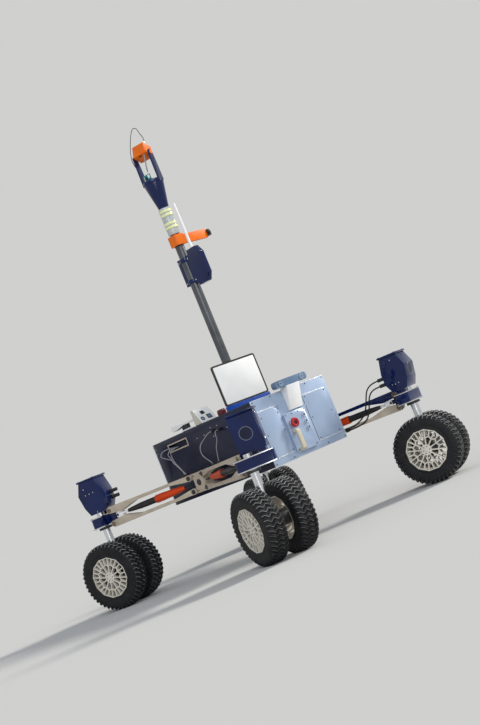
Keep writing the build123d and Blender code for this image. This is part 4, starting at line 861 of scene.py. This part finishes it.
class ROVER_OT_arms(Operator):
    """Builds the double arms and their pins"""
    bl_idname = "rover.arms"
    bl_label = "Arms"

    def execute(self, context):
        back = arm_place(FRONT_LEFT).inverted()

        def paint(middle, normal):
            """Painted shade: the slender part of the front left upper arm is navy, where it lies in
            shade.
            """
            local = back @ middle
            slender = PIN_IN + SLENDER_IN < local.x < PIN_OUT - SLENDER_OUT
            return "navy" if slender and abs(local.y) < SLENDER_HALF else None

        dress("upper_arms", "arms_above", edge=1.0, paint=paint)
        dress("lower_arms", "arms_below", edge=1.0)
        shape = Shape()
        shank = [(0, 0), (PIN_RADIUS, 0), (PIN_RADIUS, 2 * ARM_HALF), (0, 2 * ARM_HALF)]
        for corner in CORNERS:
            arm = arm_place(corner)
            for x, finish in ((PIN_IN, "dark_metal"), (PIN_OUT, "tan_dark")):
                for z in (MID_Z - PIN_RISE, MID_Z + PIN_RISE):
                    for sense in (-1, 1):
                        face = arm @ at(x, sense * ARM_HALF, z) @ side_turn(sense)
                        shape.lathe(face, PIN_HEAD, finish, segments=32)
                    shape.lathe(arm @ at(x, -ARM_HALF, z) @ TO_Y, shank, finish, segments=20)
            clevis = arm @ at(PIN_OUT - CLEVIS_BACK, -CLEVIS_HALF, MID_Z) @ TO_Y
            shape.lathe(clevis, CLEVIS_PIN, "dark_metal", segments=24)
        shape.make("round_pins", "chassis", ("arm_pins",))
        return {"FINISHED"}


# Damper, by distance along the arm: start of the sleeve, end of its taper and its outer end, start
# of the body's taper and its end
SLEEVE_START = PIN_IN + 44
SLEEVE_FULL = PIN_IN + 94
SLEEVE_END = PIN_IN + 196
BODY_TAPER = PIN_OUT - 154
BODY_END = PIN_OUT - 84
SLEEVE_LINE = [
    (0, SLEEVE_START), (6.5, SLEEVE_START), (8.5, SLEEVE_START + 3), (12.2, SLEEVE_START + 28),
    (14.0, SLEEVE_FULL), (15.8, SLEEVE_END - 60), (17.0, SLEEVE_END - 30), (17.0, SLEEVE_END - 3),
    (16.0, SLEEVE_END), (0, SLEEVE_END),
]
BODY_LINE = [
    (0, SLEEVE_END), (14.5, SLEEVE_END), (14.5, SLEEVE_END + 5), (13.6, SLEEVE_END + 7),
    (13.6, BODY_TAPER - 30), (13.2, BODY_TAPER - 28), (13.0, BODY_TAPER), (9.0, BODY_END - 14),
    (8.0, BODY_END - 12), (7.6, BODY_END - 2), (6.6, BODY_END), (0, BODY_END),
]
# The navy rods lie within this distance from the rocker block and from the arm's middle
ROD_END = PIN_IN + 50
ROD_HALF = 16


class ROVER_OT_dampers(Operator):
    """Builds the dampers: orange sleeve, black body, rods and clevises"""
    bl_idname = "rover.dampers"
    bl_label = "Dampers"

    def execute(self, context):
        sleeves = Shape()
        bodies = Shape()
        for corner in CORNERS:
            line = arm_place(corner) @ at(0, 0, MID_Z) @ TO_X
            sleeves.lathe(line, SLEEVE_LINE, "sleeve", segments=40)
            bodies.lathe(line, BODY_LINE, "black", segments=40)
        sleeves.make("sleeves", "chassis", ("damper_sleeves",))
        bodies.make("damper_tubes", "chassis", ("damper_bodies",))

        def paint(middle, normal):
            """The rods by the rocker blocks are navy, the clevises white."""
            for corner in CORNERS:
                local = arm_place(corner).inverted() @ middle
                if abs(local.y) < ROD_HALF and 0 < local.x < ROD_END:
                    return "navy_dark"
            return None

        dress("damper_rods", "rods_and_clevises", edge=0.7, finish="white", paint=paint)
        return {"FINISHED"}


# Screws on a rocker block: distance along X and height, from the block's middle
ROCKER_SCREWS = [(x, z) for x in (-23, 23) for z in (-32, 32)]


class ROVER_OT_rockers(Operator):
    """Builds the rocker blocks and their shafts"""
    bl_idname = "rover.rockers"
    bl_label = "Rocker blocks"

    def execute(self, context):
        dress("rocker_blocks", "rockers", edge=1.4)
        dress("rocker_shafts", "rocker_hubs", edge=0.8)
        places = [at(x, side * (ROCKER_Y + ROCKER_HALF), MID_Z + z) @ side_turn(side)
                  for side in (-1, 1) for x, z in ROCKER_SCREWS]
        screws("rocker_screws", "chassis", places, radius=3.2, finish="dark_metal")
        return {"FINISHED"}


# Body

# Bright screws in the side walls: distance along X, height
WALL_SCREWS = [
    (-336, 566), (-338, 547), (-336, 335), (-42, 543), (10, 544), (64, 562), (67, 524), (109, 559),
    (165, 536), (318, 341), (300, 341), (318, 359), (300, 359), (318, 560), (220, 562),
]
# Hatches: their sides in Y, and both of their level seams in Z
HATCH_SIDES = [(-200, -88), (62, 194)]
HATCH_BOTTOM = (342.6, 345)
HATCH_TOP = (541, 543.4)
# Seams start inside the sheet and stand proud of it; those beside a hatch are narrower
SEAM_BACK = PANEL_X - 0.2
SEAM_FRONT = PANEL_X + 2.3
SIDE_SEAM = 1.4
# Dark screws: Y and Z in the front and rear sheets, and in both hatches
SHEET_ROWS = (323, 583)
FRONT_SCREWS = [(y, z) for y in (-204, -102, 102, 204) for z in SHEET_ROWS]
REAR_SCREWS = [(y, z) for y in (-204, -102, 0, 102, 204) for z in SHEET_ROWS]
HATCH_SCREWS = [(y, z) for y in (-192, -96) for z in (354, 440, 514)]
HATCH_SCREWS += [(y, z) for y in (70, 186) for z in (354, 443, 532)]


class ROVER_OT_body(Operator):
    """Builds the body box, its end panels, hatches and their screws"""
    bl_idname = "rover.body"
    bl_label = "Body box"

    def execute(self, context):
        dress("body_shell", "navy_box", edge=1.2)
        dress("front_panel", "front_sheet", edge=1.0, edge_finish="bright_edge")
        dress("rear_panel", "rear_sheet", edge=1.0, edge_finish="bright_edge")
        dress("slot_trim", "slot_frame", edge=0.4)
        dress("front_hatches", "hatches", edge=1.1, edge_finish="bright_edge")
        seams = Shape()
        for y0, y1 in HATCH_SIDES:
            for z0, z1 in (HATCH_BOTTOM, HATCH_TOP):
                seams.box(ORIGIN, SEAM_BACK, SEAM_FRONT, y0 - 1, y1 + 1, z0, z1, "bright_edge")
            for y in (y0 - SIDE_SEAM, y1):
                seams.box(ORIGIN, SEAM_BACK, PANEL_X + SIDE_SEAM, y, y + SIDE_SEAM,
                          HATCH_BOTTOM[1], HATCH_TOP[0], "blue_seam")
        seams.make("hatch_seams", "chassis", edge=0.4)
        wall = [at(x, side * WALL_Y, z) @ side_turn(side) for side in (-1, 1)
                for x, z in WALL_SCREWS]
        screws("wall_screws", "chassis", wall, radius=2.4, finish="alloy")
        ends = [at(PANEL_X, y, z) @ TO_X for y, z in FRONT_SCREWS]
        ends += [at(-PANEL_X, y, z) @ spin("Y", -90) for y, z in REAR_SCREWS]
        ends += [at(HATCH_X, y, z) @ TO_X for y, z in HATCH_SCREWS]
        screws("panel_screws", "chassis", ends, radius=2.6)
        return {"FINISHED"}


# Stop button: Y and Z of its middle; finish, segments, then radius and height of each row
STOP_AT = (-58, 451)
STOP_LINES = [
    ("alloy", 40, [(0, 0), (15, 0), (15, 3.2), (13.4, 3.8), (13.4, 11), (11, 14), (0, 14)]),
    ("red", 48, [(0, 14), (15.4, 14), (19.0, 15.0), (20.0, 17.0), (20.0, 21.4), (18.8, 24.4),
                 (16.4, 25.8), (10.5, 25.2), (9.6, 23.6)]),
    # Painted shade: the dark red ring and the black middle stand in for the shade in the button's
    # recess
    ("red_dark", 48, [(9.6, 23.6), (3.4, 23.0)]),
    ("black", 24, [(3.4, 23.0), (3.0, 22.0), (0, 22.0)]),
]
# Notches round the button's head: their number, distance and height of their middle, and both
# corners of each
NOTCHES = 12
NOTCH_AT = 18.6
NOTCH_BOX = (0.2, 1.4, -1.6, 1.6, -2.6, 2.6)
# Sockets on the strip: Y, heights, the black hole by radius and height, and the ring and the nut
# by outer radius, inner radius and both heights
SOCKET_Y = 18
SOCKET_ROWS = (467, 439, 412)
SOCKET_HOLE = [(0, 2.2), (4.3, 2.2), (4.3, 2.6), (0, 2.6)]
SOCKET_RING = (8.0, 6.9, 6.9, 7.3)
SOCKET_NUT = (9.6, 8.1, 0, 1.4)
# Lenses of the stereo camera: face, distance from the middle, height, then as for the sockets
LENS_X = 393
LENS_Y = 60
LENS_Z = 614
LENS_RING = (11.5, 9.8, -0.2, 0.8)
LENS_GLASS = [(0, 0.6), (4, 0.5), (9.7, 0.1), (9.7, -0.1), (0, -0.1)]
LENS_PUPIL = [(0, 1.0), (2.4, 0.9), (3.4, 0.5), (0, 0.5)]
# Screws of the strip: Y and Z
STRIP_SCREWS = [(-76, 340), (-76, 489), (30, 340), (30, 489), (-40, 489), (-4, 489)]


class ROVER_OT_instruments(Operator):
    """Builds the instrument strip, stop button, bar, hood and stereo camera"""
    bl_idname = "rover.instruments"
    bl_label = "Instruments"

    def execute(self, context):
        dress("service_strip", "strip", edge=0.8, edge_finish="bright_edge")
        dress("grab_bar", "bar", edge=1.6, finish="bar")
        dress("camera_hood", "hood", edge=2.0)
        dress("stereo_camera", "stereo_bar", edge=2.4)
        stop = Shape()
        face = at(STRIP_X, *STOP_AT) @ TO_X
        for finish, segments, line in STOP_LINES:
            stop.lathe(face, line, finish, segments)
        for step in range(NOTCHES):
            notch = face @ spin("Z", step * 360 / NOTCHES) @ at(NOTCH_AT, 0, NOTCH_AT)
            # Painted shade: the notches get the dark red
            stop.box(notch, *NOTCH_BOX, "red_dark")
        stop.make("stop_head", "chassis", ("stop_button",))
        rest = Shape()
        for z in SOCKET_ROWS:
            socket = at(STRIP_X, SOCKET_Y, z) @ TO_X
            rest.lathe(socket, SOCKET_HOLE, "black", segments=24)
            rest.tube(socket, *SOCKET_RING, "alloy", segments=32)
            rest.tube(socket, *SOCKET_NUT, "alloy", segments=6)
        for side in (-1, 1):
            glass = at(LENS_X, side * LENS_Y, LENS_Z) @ TO_X
            rest.tube(glass, *LENS_RING, "smoke_lens", segments=40)
            rest.lathe(glass, LENS_GLASS, "smoke_lens", segments=40)
            rest.lathe(glass, LENS_PUPIL, "lens", segments=24)
        rest.make("sockets_and_lenses", "chassis")
        places = [at(STRIP_X, y, z) @ TO_X for y, z in STRIP_SCREWS]
        screws("strip_screws", "chassis", places, radius=2.6)
        return {"FINISHED"}


# Deck

# Sensor box: outline in X and Z, its side in Y and its width
SENSOR_OUTLINE = [(-28, 591), (20, 591), (20, 597), (-12, 658), (-28, 658)]
SENSOR_Y = -122
SENSOR_WIDTH = 86
# Middle of the sensor box's slope, and its turn from the level in degrees
SLOPE_MIDDLE = (4, -165, 627.5)
SLOPE_TURN = 62.3
# Round window in the slope: its place there, then radius and height of each row
WINDOW_AT = (20, -24, 0)
WINDOW_RIM = [(0, 0.5), (6.0, 0.5), (6.4, 1.4), (9.2, 1.4), (9.8, 0.8), (9.8, -0.2), (0, -0.2)]
WINDOW_GLASS = [(0, 1.2), (3.4, 1.0), (6.0, 0.5), (0, 0.5)]
# Square window: its place there, outline and both heights of its frame and of its glass
PANE_AT = (18, 14, 0)
PANE_FRAME = (rounded(22, 24, 3), -0.2, 0.5)
PANE_GLASS = (rounded(13, 15, 2), 0.5, 0.8)
# Dark plate beside them, by both corners
SLOPE_PLATE = (-17, 0, -15, 5, -0.2, 0.5)
# Deck handle: outline of its arm and paddle in X and Z, its side in Y and its width
HANDLE_OUTLINE = [
    (-28, 617), (-112, 617), (-138, 612), (-166, 607), (-188, 606), (-197, 610), (-201, 618),
    (-199, 627), (-190, 631), (-168, 631), (-130, 628), (-28, 628),
]
HANDLE_Y = -177
HANDLE_WIDTH = 25
# Post below the arm and the foot below the post, by both corners
HANDLE_POST = (-130, -90, -199, -181, 598, 617)
HANDLE_FOOT = (-132, -66, -201, -179, 591, 598)
# Name board: middle in X and Z, half its thickness, outer and inner line of its black edge, and
# heights of that edge from the board's face
BOARD_X = 104
BOARD_Z = 703.5
BOARD_HALF = 3
BOARD_OUTER = rounded(177, 250, 10)
BOARD_INNER = rounded(163, 236, 5)
BOARD_EDGE = (-0.3, 0.7)


class ROVER_OT_deck(Operator):
    """Builds the blank name board, the sensor box, the handle and the cap"""
    bl_idname = "rover.deck"
    bl_label = "Deck pieces"

    def execute(self, context):
        def paint(middle, normal):
            """The rim of the board is black."""
            return None if abs(normal.x) > SQUARE_ON else "black"

        dress("name_board", "blank_board", edge=0.8, paint=paint)
        dress("name_board_base", "board_foot", edge=1.2)
        sensors = Shape()
        sensors.prism(at(0, SENSOR_Y, 0) @ UPRIGHT, SENSOR_OUTLINE, 0, SENSOR_WIDTH, "white")
        # The sides are cream: partly their own colour, partly painted shade beside the white slope
        for wall in sensors.mesh.faces:
            wall.normal_update()
            if abs(wall.normal.y) > SQUARE_ON:
                wall.material_index = sensors.index("cream")
        sensors.make("sensors", "chassis", ("sensor_box",), edge=3.4)
        handle = Shape()
        handle.prism(at(0, HANDLE_Y, 0) @ UPRIGHT, HANDLE_OUTLINE, 0, HANDLE_WIDTH, "white")
        handle.box(ORIGIN, *HANDLE_POST, "black")
        handle.box(ORIGIN, *HANDLE_FOOT, "white")
        handle.make("handle", "chassis", ("deck_handle",), edge=2.6)
        # Painted shade: the cap gets the dark red
        dress("deck_cap", "cap", edge=1.4, finish="red_dark")
        trim = Shape()
        for sense in (-1, 1):
            face = at(BOARD_X + sense * BOARD_HALF, 0, BOARD_Z) @ spin("Y", 90 * sense)
            trim.frame(face, BOARD_OUTER, BOARD_INNER, *BOARD_EDGE, "black")
        trim.make("board_trim", "chassis")
        marks = Shape()
        slope = at(*SLOPE_MIDDLE) @ spin("Y", SLOPE_TURN)
        marks.box(slope, *SLOPE_PLATE, "black")
        marks.prism(slope @ at(*PANE_AT), *PANE_FRAME, "black")
        marks.prism(slope @ at(*PANE_AT), *PANE_GLASS, "smoke")
        marks.lathe(slope @ at(*WINDOW_AT), WINDOW_RIM, "black", segments=40)
        marks.lathe(slope @ at(*WINDOW_AT), WINDOW_GLASS, "smoke_lens", segments=36)
        marks.make("sensor_windows", "chassis")
        return {"FINISHED"}


# Mast

# Beacon: radius outside which a face belongs to a proud ring. Flutes between the rings: heights
# above its foot, number, inner and outer radius, half their width
RING_RADIUS = 25.6
FLUTE_ROWS = [(1, 25), (56, 81), (112, 119)]
FLUTES = 72
FLUTE_INNER = 24.6
FLUTE_OUTER = 25.5
FLUTE_HALF = 0.5
# Stick antenna: distance from the mast, height of its foot, radius and height of each row
ANTENNA_OUT = 70
ANTENNA_Z = 1290
ANTENNA_LINE = [(0, 0), (7.0, 0), (7.0, 10), (6.5, 11), (6.5, 24), (6.1, 26), (5.9, 96), (4.6, 199),
                (3.6, 203.4), (0, 204)]
# Screws of the mast box: X and Z, and the distance of its clamps' faces from the middle
MAST_SCREWS = [(x, z) for x in (38, 102) for z in (1162.5, 1257)]
CLAMP_Y = 11.5


class ROVER_OT_mast(Operator):
    """Builds the mast, its box, antenna, camera arm, beacon and cone"""
    bl_idname = "rover.mast"
    bl_label = "Mast"

    def execute(self, context):
        dress("mast_tube", "mast", edge=0.6)
        dress("mast_box", "navy_mast_box", edge=2.0)
        dress("camera_arm", "clamp_arm", edge=1.4)
        dress("arm_camera", "small_camera", edge=1.2)
        dress("mast_cone", "cone", edge=1.0)

        def paint(middle, normal):
            """The proud rings are pale yellow, the bands between them clear."""
            reach = hypot(middle.x - MAST_X, middle.y)
            return "clear_ribs" if reach > RING_RADIUS else None

        dress("beacon", "ringed_beacon", edge=0.8, finish="clear_band", paint=paint)
        flutes = Shape()
        for z0, z1 in FLUTE_ROWS:
            for step in range(FLUTES):
                place = at(MAST_X, 0, BEACON_Z) @ spin("Z", step * 360 / FLUTES)
                flutes.box(place, FLUTE_INNER, FLUTE_OUTER, -FLUTE_HALF, FLUTE_HALF, z0, z1,
                           "clear_band")
        flutes.make("beacon_flutes", "chassis")
        rod = Shape()
        rod.lathe(at(MAST_X + ANTENNA_OUT, 0, ANTENNA_Z), ANTENNA_LINE, "white", segments=32)
        rod.make("rod_antenna", "chassis", ("stick_antenna",))
        places = [at(x, side * CLAMP_Y, z) @ side_turn(side) for side in (-1, 1)
                  for x, z in MAST_SCREWS]
        screws("mast_box_screws", "chassis", places, radius=3.0, finish="alloy")
        return {"FINISHED"}


# Parts on the head's board: both corners, in the frame of the turning head, and finish
CHIPS = [
    ((15.0, 17.0, -20, -8, 1636, 1648), "black"),
    ((15.0, 18.0, -4, 5, 1640, 1654), "white"),
    ((15.0, 16.4, -25, -22, 1632, 1652), "alloy"),
]
# Round part on the board: place, radius and height of each row
CAN_AT = (15, 0, 1652)
CAN_LINE = [(0, 2.2), (2, 2.2), (2.2, 0), (0, 0)]
# Lens below the tilting box: place in its frame, radius and height of each row
HEAD_LENS_AT = (19, 2, -10)
HEAD_LENS_RIM = [(0, 0.4), (3.4, 0.4), (3.8, 1.4), (5.2, 1.4), (5.6, 0.8), (5.6, -0.5), (0, -0.5)]
HEAD_LENS_GLASS = [(0, 0.9), (2.0, 0.8), (3.4, 0.4), (0, 0.4)]


class ROVER_OT_head(Operator):
    """Builds the fork, the tilting box and the electronics"""
    bl_idname = "rover.head"
    bl_label = "Head"

    def execute(self, context):
        dress("head_fork", "navy_fork", edge=1.4)
        dress("head_box", "orange_box", edge=1.8)
        dress("head_whip", "cable_gland", edge=0.4)
        dress("head_electronics", "teal_board", edge=0.4)
        chips = Shape()
        for corners, finish in CHIPS:
            chips.box(HEAD_PLACE, *corners, finish)
        chips.lathe(HEAD_PLACE @ at(*CAN_AT) @ TO_X, CAN_LINE, "alloy", segments=16)
        chips.make("board_parts", "head_pan")
        window = Shape()
        below = BOX_PLACE @ at(*HEAD_LENS_AT) @ spin("X", 180)
        window.lathe(below, HEAD_LENS_RIM, "black", segments=32)
        window.lathe(below, HEAD_LENS_GLASS, "lens", segments=32)
        window.make("head_lens", "head_tilt")
        return {"FINISHED"}


# Leads: the points that each one is led past

# Loop above the head and lead below it: start in the tilting box's frame, the rest of the route
# and both ends of the bend in the frame of the turning head at the tilt axis
LOOP_START = [(1, 18, 66), (1, 18, 82)]
LOOP = [(-19, 17, 98), (-20, 11, 126), (-18, -8, 132), (-12, -27, 101), (-8, -45, 62),
        (-2, -56, 22), (5, -56, -10), (3, -46, -47)]
LOOP_BEND = [(0, -45, 0), (0, 12, 0)]
HEAD_LEAD_START = [(18, 22, -10), (18, 22, -27)]
HEAD_LEAD = [(30, 21, -36), (27, 13, -54), (16, 4, -74)]
HEAD_LEAD_BEND = [(0, 0, -70), (0, 0, -34)]
# Leads of the front left housing run straight between these two local X, out of the plug's tip
PLUG_X = (-85, -110)
# Height of the plug, then the route by distance along the arm, distance towards the body, height
HOUSING_ROUTES = [
    (478.55, [(418, 62, 470), (397, 53, 455), (381, 43, 434), (366, 34, 411), (351, 28, 389),
              (333, 25, 368), (308, 24, 352), (272, 22.5, 341.5), (238, 24, 337.5)]),
    (453.55, [(420, 62, 446), (400, 54, 430), (385, 44, 409), (371, 35, 386), (356, 28.5, 364),
              (337, 25.5, 346), (314, 24.5, 335.5), (280, 22.5, 331), (238, 24, 330.5)]),
]
# Leads on the right side, in the rover's frame: two from plugs, and three out of the slot
SIDE_ROUTES = [
    [(80, -231, 545), (80, -247, 545), (55, -256, 529), (30, -272, 510), (44, -292, 481),
     (68, -306, 465.5), (93, -318, 452), (132, -337, 439), (172, -355, 419.5)],
    [(122, -231, 541), (122, -246, 541), (126, -252, 525), (136, -262, 503.5), (146, -290, 479),
     (180, -325, 450), (208, -352, 436), (236, -377, 419.5)],
    [(-232, -193, 548), (-232, -212, 548), (-250, -228, 551), (-276, -236, 546),
     (-280, -247, 531), (-250, -254, 519), (-219, -261, 510), (-189, -266, 499),
     (-160, -276, 482), (-129, -290, 462), (-98, -305, 445), (-66, -320, 419.5)],
    [(-218, -193, 545), (-218, -212, 545), (-233, -225, 542), (-242, -236, 527),
     (-226, -243, 514), (-203, -254, 504), (-179, -272, 487), (-144, -292, 476),
     (-109, -307, 460), (-74, -322, 441), (-70, -321, 419.5)],
    [(-204, -193, 543), (-204, -212, 543), (-218, -226, 538), (-222, -236, 524),
     (-208, -245, 509), (-188, -257, 493), (-165, -272, 478), (-138, -287, 463),
     (-110, -300, 446), (-60, -318, 419.5)],
]
HEAD_LOOP_THICKNESS = 3.0
HEAD_LEAD_THICKNESS = 5.0
HOUSING_LEAD_THICKNESS = 6.0
SIDE_LEAD_THICKNESS = 3.5
# Clip at the housing leads: both ends along the arm, both sides towards the body, both heights
LEAD_CLIP_ENDS = (225, 240)
LEAD_CLIP_SIDES = (18, 30)
LEAD_CLIP_ROWS = (326, 343)
# Clips on the upper arms: corner, both ends along the arm, half width; bottom and top of all
ARM_CLIPS = [(FRONT_RIGHT, 176, 188, 6), (FRONT_RIGHT, 243, 255, 6), (REAR_RIGHT, 60, 84, 9)]
ARM_CLIP_ROWS = (413.2, 424)


def spots(place, points):
    """Points of a local frame in the rover's frame."""
    return [tuple(place @ Vector(point)) for point in points]


def head_bend(ends):
    """Body that a lead of the head bends from, and both ends of the bend in metres."""
    start, end = (tuple(TILT_PLACE @ Vector(point) * MM) for point in ends)
    return "head_pan", start, end


class ROVER_OT_leads(Operator):
    """Builds the leads between plugs, slot, clips and head"""
    bl_idname = "rover.leads"
    bl_label = "Leads"

    def execute(self, context):
        loop = spots(BOX_PLACE, LOOP_START) + spots(TILT_PLACE, LOOP)
        lead_curve("head_loop", loop, HEAD_LOOP_THICKNESS, "head_tilt", finish="black",
                   replaced=("head_leads",), across=head_bend(LOOP_BEND))
        drop = spots(BOX_PLACE, HEAD_LEAD_START) + spots(TILT_PLACE, HEAD_LEAD)
        lead_curve("head_lead", drop, HEAD_LEAD_THICKNESS, "head_tilt", finish="lead_grey",
                   across=head_bend(HEAD_LEAD_BEND))
        turn = hand(FRONT_LEFT)
        arm = arm_place(FRONT_LEFT)
        for number, (plug_z, route) in enumerate(HOUSING_ROUTES):
            points = spots(knuckle_place(FRONT_LEFT), [(x, turn * PLUG_Y, plug_z) for x in PLUG_X])
            points += spots(arm, [(along, turn * across, z) for along, across, z in route])
            lead_curve(f"housing_lead_{number + 1}", points, HOUSING_LEAD_THICKNESS, "chassis",
                       finish="black",
                       replaced=("housing_cables",) if number == 0 else ())
        for number, route in enumerate(SIDE_ROUTES):
            lead_curve(f"side_lead_{number + 1}", route, SIDE_LEAD_THICKNESS, "chassis",
                       finish="lead_grey",
                       replaced=("side_cables",) if number == 0 else ())
        dress("side_plugs", "wall_plugs", edge=0.6)
        clips = Shape()
        sides = sorted(turn * side for side in LEAD_CLIP_SIDES)
        clips.box(arm, *LEAD_CLIP_ENDS, *sides, *LEAD_CLIP_ROWS, "black")
        for corner, start, end, half in ARM_CLIPS:
            clips.box(arm_place(corner), start, end, -half, half, *ARM_CLIP_ROWS, "black")
        clips.make("lead_clips", "chassis", edge=1.0)
        return {"FINISHED"}


# Studio, in metres

CAMERA_TARGET = Vector((0.1468, 0.0, 0.7673))
CAMERA_AWAY = 5.5735
CAMERA_SIDE = Vector((0.6626, 0.7490, 0.0)).normalized()
CAMERA_BACK = Vector((0.7476, -0.6615, -0.0593)).normalized()
CAMERA_ROLL = 22.3
SENSOR_MM = 36.0
FLOOR_RADIUS = 90.0
FLOOR_SEGMENTS = 96
# Spots on the floor: how many per metre, and how far they depart from its colour
FLOOR_SPOTS = 60.0
FLOOR_SPREAD = 0.015
ROOM_COLOUR = (0.90, 0.94, 1.0)
# Lamps without fall-off: direction towards it, softness in degrees, colour
LAMPS = {
    "key": ((0.455, 0.793, 0.55), 14.0, (1.0, 0.965, 0.90)),
    "fill": ((0.80, -0.55, 0.38), 40.0, (0.94, 0.97, 1.0)),
}


def add_floor(tint):
    """Level disc with faint spots."""
    disc = bmesh.new()
    bmesh.ops.create_circle(disc, cap_ends=True, segments=FLOOR_SEGMENTS, radius=FLOOR_RADIUS)
    mesh = bpy.data.meshes.new("floor")
    disc.to_mesh(mesh)
    disc.free()
    material = bpy.data.materials.new("floor")
    material.use_nodes = True
    tree = material.node_tree
    nodes = add_nodes(tree, (
        ("out", "ShaderNodeOutputMaterial"), ("matt", "ShaderNodeBsdfDiffuse"),
        ("noise", "ShaderNodeTexNoise"), ("ramp", "ShaderNodeValToRGB"),
    ))
    set_inputs(nodes, [("noise", "Scale", FLOOR_SPOTS)])
    shades = nodes["ramp"].color_ramp.elements
    shades[0].color = (*[(1 - FLOOR_SPREAD) * value for value in tint], 1.0)
    shades[1].color = (*[(1 + FLOOR_SPREAD) * value for value in tint], 1.0)
    join(tree, nodes, (
        ("noise", 0, "ramp", 0), ("ramp", 0, "matt", "Color"), ("matt", 0, "out", 0),
    ))
    mesh.materials.append(material)
    piece = link_object("floor", mesh)


def floor_light(powers, room_light):
    """Light that a level floor gets from the lamps and all round, by colour."""
    level = [room_light * value for value in ROOM_COLOUR]
    for name, (direction, _, tone) in LAMPS.items():
        lift = powers[name] * Vector(direction).normalized().z / pi
        level = [value + lift * part for value, part in zip(level, tone)]
    return level


def add_world(backdrop, room_light):
    """Even light all round; the camera, metal and glass see the backdrop's colour instead."""
    world = bpy.data.worlds.new("studio")
    bpy.context.scene.world = world
    world.use_nodes = True
    tree = world.node_tree
    nodes = add_nodes(tree, (
        ("out", "ShaderNodeOutputWorld"), ("seen", "ShaderNodeBackground"),
        ("around", "ShaderNodeBackground"), ("path", "ShaderNodeLightPath"),
        ("direct", "ShaderNodeMath"), ("through", "ShaderNodeMath"),
        ("mix", "ShaderNodeMixShader"),
    ))
    nodes["direct"].operation = "MAXIMUM"
    nodes["through"].operation = "MAXIMUM"
    set_inputs(nodes, (
        ("seen", "Color", (*backdrop, 1.0)), ("seen", "Strength", 1.0),
        ("around", "Color", (*ROOM_COLOUR, 1.0)), ("around", "Strength", room_light),
    ))
    join(tree, nodes, (
        ("path", "Is Camera Ray", "direct", 0), ("path", "Is Glossy Ray", "direct", 1),
        ("direct", 0, "through", 0), ("path", "Is Transmission Ray", "through", 1),
        ("through", 0, "mix", 0), ("around", 0, "mix", 1), ("seen", 0, "mix", 2),
        ("mix", 0, "out", 0),
    ))


def add_lamps(powers):
    """Soft lamps without fall-off."""
    for name, (direction, softness, tone) in LAMPS.items():
        lamp = bpy.data.lights.new(name, "SUN")
        lamp.energy = powers[name]
        lamp.angle = radians(softness)
        lamp.color = tone
        light = link_object(name, lamp)
        light.rotation_euler = Vector(direction).to_track_quat("Z", "Y").to_euler()


def add_camera(lens_mm):
    """Camera at the photograph's angle, with its roll."""
    upright = CAMERA_BACK.cross(CAMERA_SIDE)
    roll = radians(CAMERA_ROLL)
    up = upright * cos(roll) + CAMERA_SIDE * sin(roll)
    right = CAMERA_SIDE * cos(roll) - upright * sin(roll)
    data = bpy.data.cameras.new("camera")
    data.lens = lens_mm
    data.sensor_width = SENSOR_MM
    camera = link_object("camera", data)
    turn = Matrix((right, up, CAMERA_BACK)).transposed().to_4x4()
    camera.matrix_world = Matrix.Translation(CAMERA_TARGET + CAMERA_BACK * CAMERA_AWAY) @ turn
    bpy.context.scene.camera = camera


class ROVER_OT_studio(Operator):
    """Sets the pale floor, the soft lamps, the backdrop and the camera"""
    bl_idname = "rover.studio"
    bl_label = "Studio"

    def execute(self, context):
        sizes = context.scene.rover_sizes
        tint = tuple(context.scene.rover_finish.floor)
        powers = {"key": sizes.key_power, "fill": sizes.fill_power}
        add_floor(tint)
        # The backdrop gets the colour that the lit floor has
        level = floor_light(powers, sizes.room_light)
        backdrop = tuple(value * share for value, share in zip(tint, level))
        add_world(backdrop, sizes.room_light)
        add_lamps(powers)
        add_camera(sizes.lens_mm)
        context.scene.view_settings.view_transform = "Standard"
        return {"FINISHED"}


PIECES = [
    ROVER_OT_tyres, ROVER_OT_rims, ROVER_OT_drives, ROVER_OT_knuckles, ROVER_OT_housings,
    ROVER_OT_arms, ROVER_OT_dampers, ROVER_OT_rockers, ROVER_OT_body, ROVER_OT_instruments,
    ROVER_OT_deck, ROVER_OT_mast, ROVER_OT_head, ROVER_OT_leads, ROVER_OT_studio,
]


class ROVER_PT_pieces(Panel):
    """Lists the pieces and the sizes they use"""
    bl_label = "Rover"
    bl_space_type = "VIEW_3D"
    bl_region_type = "UI"
    bl_category = "Rover"

    def draw(self, context):
        for piece in PIECES:
            self.layout.operator(piece.bl_idname)
        for group in (context.scene.rover_sizes, context.scene.rover_finish):
            for name in group.__annotations__:
                self.layout.prop(group, name)


CLASSES = [RoverSizes, RoverFinish, *PIECES, ROVER_PT_pieces]


def register():
    """Makes the pieces known to Blender."""
    for kind in CLASSES:
        bpy.utils.register_class(kind)
    bpy.types.Scene.rover_sizes = PointerProperty(type=RoverSizes)
    bpy.types.Scene.rover_finish = PointerProperty(type=RoverFinish)


def unregister():
    """Takes the pieces out again."""
    del bpy.types.Scene.rover_finish
    del bpy.types.Scene.rover_sizes
    for kind in reversed(CLASSES):
        bpy.utils.unregister_class(kind)


def main():
    """Builds every piece in order."""
    register()
    for piece in PIECES:
        group, name = piece.bl_idname.split(".")
        getattr(getattr(bpy.ops, group), name)()
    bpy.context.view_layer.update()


if __name__ == "__main__":
    main()
